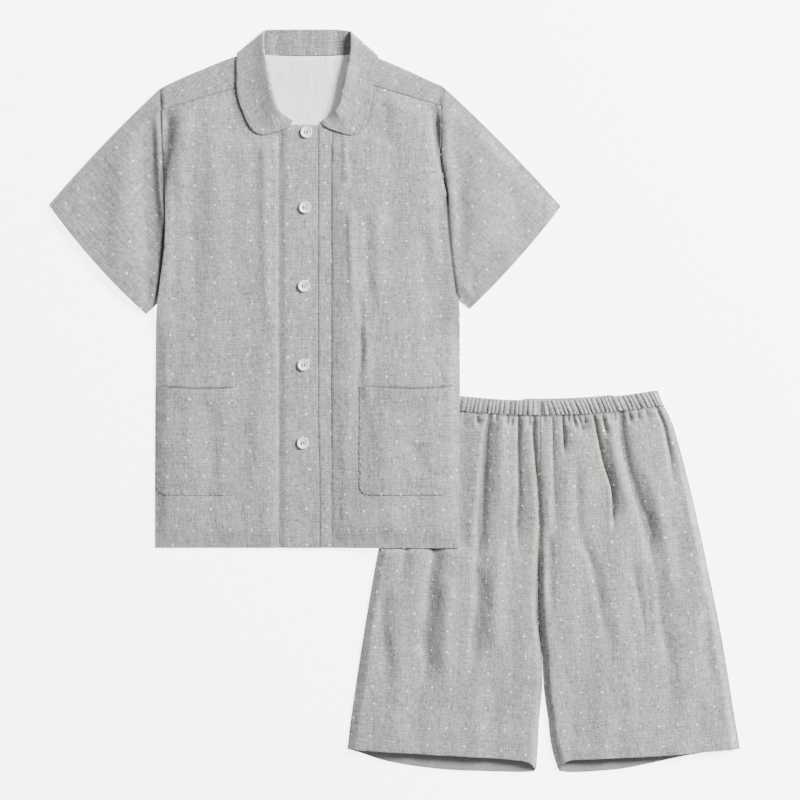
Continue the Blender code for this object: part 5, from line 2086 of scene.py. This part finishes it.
@dataclass
class Buttons:
    """Five four-holed buttons sewn to the over band."""

    finishes: Finishes
    shirt: Shirt
    radius: float = 7.5
    thick: float = 2.6
    hole_radius: float = 0.95
    hole_out: float = 2.3
    hole_sides: int = 16
    insets: Table = ((1.5, 0.0), (0.7, -0.7), (0.8, -0.25))
    under_inset: tuple[float, float] = (1.2, 0.35)
    rim: float = 0.45
    clearance: float = 0.25
    twist: float = 0.06
    strand: float = 0.27
    strands: tuple[float, ...] = (-0.45, 0.0, 0.45)
    seat: float = 0.95
    bar: Table = ((-1.25, -1.3), (-1.05, 0.0), (-0.6, 0.3), (0.0, 0.38), (0.6, 0.3), (1.05, 0.0),
                  (1.25, -1.3))
    places: Table = (
        (-1.4, 540.6), (-3.3, 442.5), (-4.6, 340.6), (-5.2, 237.9), (-5.9, 136.5),
    )

    def build(self) -> None:
        """Model one button and its thread, and sew a copy at each place."""
        button = self.model()
        thread = self.thread()
        for index, (u, v) in enumerate(self.places, start=1):
            name = f"button_{index}"
            level = float(self.shirt.over_level(u, v)) + WALL / 2 + self.clearance
            place = np.array((SHIRT_X + u, SHIRT_Y + v, level)) * MM
            turn = self.twist * (index - 2)
            disc = self.copy(button, name + "_disc", place, turn)
            sewn = self.copy(thread, name + "_thread", place, turn)
            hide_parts(name)
            for piece in (disc, sewn):
                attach(piece, BODY)
            log.info("%s sewn on", name)
        for pattern in (button, thread):
            bpy.data.objects.remove(pattern, do_unlink=True)

    def copy(self, pattern: bpy.types.Object, name: str, place: np.ndarray,
             turn: float) -> bpy.types.Object:
        """A copy with its own mesh, turned and moved to its place in the mesh itself.

        Args:
            pattern: What is copied.
            name: Name of the copy.
            place: Where it lies, in metres.
            turn: Its turn in radians.

        Returns:
            The copy.
        """
        mesh = pattern.data.copy()
        mesh.name = name
        points = np.empty(len(mesh.vertices) * 3)
        mesh.vertices.foreach_get("co", points)
        cos, sin = math.cos(turn), math.sin(turn)
        spin = np.array(((cos, -sin, 0), (sin, cos, 0), (0, 0, 1)))
        mesh.vertices.foreach_set("co", (points.reshape(-1, 3) @ spin.T + place).ravel())
        piece = bpy.data.objects.new(name, mesh)
        bpy.context.collection.objects.link(piece)
        return piece

    def model(self) -> bpy.types.Object:
        """One button at the origin: rim, dished middle and four holes.

        Returns:
            The button.
        """
        bpy.ops.object.select_all(action="DESELECT")
        bpy.ops.mesh.primitive_cylinder_add(
            vertices=48, radius=self.radius * MM, depth=self.thick * MM,
            location=(0, 0, self.thick / 2 * MM),
        )
        button = bpy.context.active_object
        bpy.ops.object.transform_apply(location=True, rotation=True, scale=True)
        self.pick_face(button, top=True)
        for inset, depth in self.insets:
            bpy.ops.mesh.inset(thickness=inset * MM, depth=depth * MM)
        self.pick_face(button, top=False)
        inset, depth = self.under_inset
        bpy.ops.mesh.inset(thickness=inset * MM, depth=depth * MM)
        bpy.ops.object.mode_set(mode="OBJECT")
        edge = button.modifiers.new("Rim", "BEVEL")
        edge.width = self.rim * MM
        edge.segments = 3
        edge.limit_method = "ANGLE"
        edge.angle_limit = math.radians(28)
        bpy.ops.object.modifier_apply(modifier=edge.name)
        for turn in range(4):
            angle = math.pi / 4 + turn * math.pi / 2
            self.drill(button, self.hole_out * math.cos(angle), self.hole_out * math.sin(angle))
        choose(button)
        bpy.ops.object.shade_smooth_by_angle(angle=math.radians(35))
        button.data.materials.clear()
        button.data.materials.append(self.finishes.shell)
        return button

    def pick_face(self, button: bpy.types.Object, top: bool) -> None:
        """Enter edit mode with only the flat top or bottom face selected.

        Args:
            button: The button.
            top: Whether the top face is meant.
        """
        bpy.ops.object.mode_set(mode="OBJECT")
        mesh = button.data
        for part in (mesh.vertices, mesh.edges, mesh.polygons):
            part.foreach_set("select", [False] * len(part))
        wanted = max(mesh.polygons, key=lambda face: face.center.z * (1 if top else -1) + face.area)
        wanted.select = True
        bpy.ops.object.mode_set(mode="EDIT")
        bpy.ops.mesh.select_mode(type="FACE")

    def drill(self, button: bpy.types.Object, x: float, y: float) -> None:
        """Cut one thread hole.

        Args:
            button: The button.
            x: Place of the hole to the right.
            y: Place of the hole upwards.
        """
        bpy.ops.object.select_all(action="DESELECT")
        bpy.ops.mesh.primitive_cylinder_add(
            vertices=self.hole_sides, radius=self.hole_radius * MM, depth=4 * self.thick * MM,
            location=(x * MM, y * MM, 0),
        )
        cutter = bpy.context.active_object
        bpy.context.view_layer.objects.active = button
        hole = button.modifiers.new("Hole", "BOOLEAN")
        hole.object = cutter
        hole.operation = "DIFFERENCE"
        bpy.ops.object.modifier_apply(modifier=hole.name)
        bpy.data.objects.remove(cutter, do_unlink=True)

    def thread(self) -> bpy.types.Object:
        """Two bars of thread through the holes, at the origin.

        Returns:
            The thread.
        """
        curve = bpy.data.curves.new("button_bars", "CURVE")
        curve.dimensions = "3D"
        curve.bevel_depth = self.strand * MM
        curve.bevel_resolution = 2
        half = self.hole_out * math.cos(math.pi / 4)
        seat = self.thick - self.seat
        for bar in (-half, half):
            for strand in self.strands:
                line = curve.splines.new("POLY")
                line.points.add(len(self.bar) - 1)
                for point, (along, height) in zip(line.points, self.bar):
                    place = (bar + strand, along * half, seat + height - 0.2 * abs(strand))
                    point.co = (*(part * MM for part in place), 1.0)
        pattern = bpy.data.objects.new("button_bars", curve)
        bpy.context.collection.objects.link(pattern)
        choose(pattern)
        bpy.ops.object.convert(target="MESH")
        pattern = bpy.context.active_object
        pattern.data.shade_smooth()
        pattern.data.materials.clear()
        pattern.data.materials.append(self.finishes.button_thread)
        return pattern


class Lamp(NamedTuple):
    """A square soft light: its place and size in millimetres and its power in watts."""

    name: str
    place: tuple[float, float, float]
    size: float
    power: float


@dataclass
class Studio:
    """White floor, soft lights and the camera straight above."""

    aim: tuple[float, float] = (7.45, 0.8)
    lens: float = 100.0
    distance: float = 2893.0
    sensor: float = 36.0
    near: float = 0.05
    floor_size: float = 14.0
    paper: Colour = (0.92, 0.92, 0.92)
    glow: float = 5.0
    sky: float = 0.25
    lamps: tuple[Lamp, ...] = (
        Lamp("key", (2700, 1700, 2000), 1300, 575.0),
        Lamp("fill", (-1700, 300, 2300), 2000, 15.0),
    )

    def build(self) -> None:
        """Place the floor, the lights and the camera."""
        self.floor()
        self.world()
        for lamp in self.lamps:
            self.light(lamp)
        self.camera()
        log.info("floor, %d lights and camera placed", len(self.lamps))

    def floor(self) -> None:
        """A wide pale floor that fills every view."""
        bpy.ops.object.select_all(action="DESELECT")
        bpy.ops.mesh.primitive_plane_add(size=self.floor_size, location=(0, 0, 0))
        floor = bpy.context.active_object
        floor.name = "floor"
        nodes = Nodes("floor_paper")
        nodes.finish((*self.paper, 1.0), 0.9)
        nodes.shader.inputs["Emission Color"].default_value = (1.0, 1.0, 1.0, 1.0)
        nodes.shader.inputs["Emission Strength"].default_value = self.glow
        floor.data.materials.append(nodes.material)

    def world(self) -> None:
        """Even white surroundings."""
        world = bpy.data.worlds.new("studio")
        bpy.context.scene.world = world
        world.use_nodes = True
        background = world.node_tree.nodes["Background"]
        background.inputs["Color"].default_value = (1.0, 1.0, 1.0, 1.0)
        background.inputs["Strength"].default_value = self.sky

    def light(self, lamp: Lamp) -> None:
        """Place one light, aimed at the middle of the set.

        Args:
            lamp: The light.
        """
        source = bpy.data.lights.new(lamp.name, "AREA")
        source.size = lamp.size * MM
        source.energy = lamp.power
        holder = bpy.data.objects.new(lamp.name, source)
        holder.location = [part * MM for part in lamp.place]
        holder.rotation_euler = (-holder.location).to_track_quat("-Z", "Y").to_euler()
        bpy.context.collection.objects.link(holder)

    def camera(self) -> None:
        """Camera looking straight down at the photo's framing."""
        lens = bpy.data.cameras.new("camera")
        lens.lens = self.lens
        lens.sensor_width = self.sensor
        lens.clip_start = self.near
        camera = bpy.data.objects.new("camera", lens)
        camera.location = (self.aim[0] * MM, self.aim[1] * MM, self.distance * MM)
        bpy.context.collection.objects.link(camera)
        bpy.context.scene.camera = camera


def main() -> None:
    """Dress the set, light it and place the camera."""
    logging.basicConfig(level=logging.INFO, format="%(message)s")
    finishes = Finishes.make()
    shirt = Shirt(finishes)
    shirt.build()
    Shorts(finishes).build()
    Buttons(finishes, shirt).build()
    Studio().build()


if __name__ == "__main__":
    main()
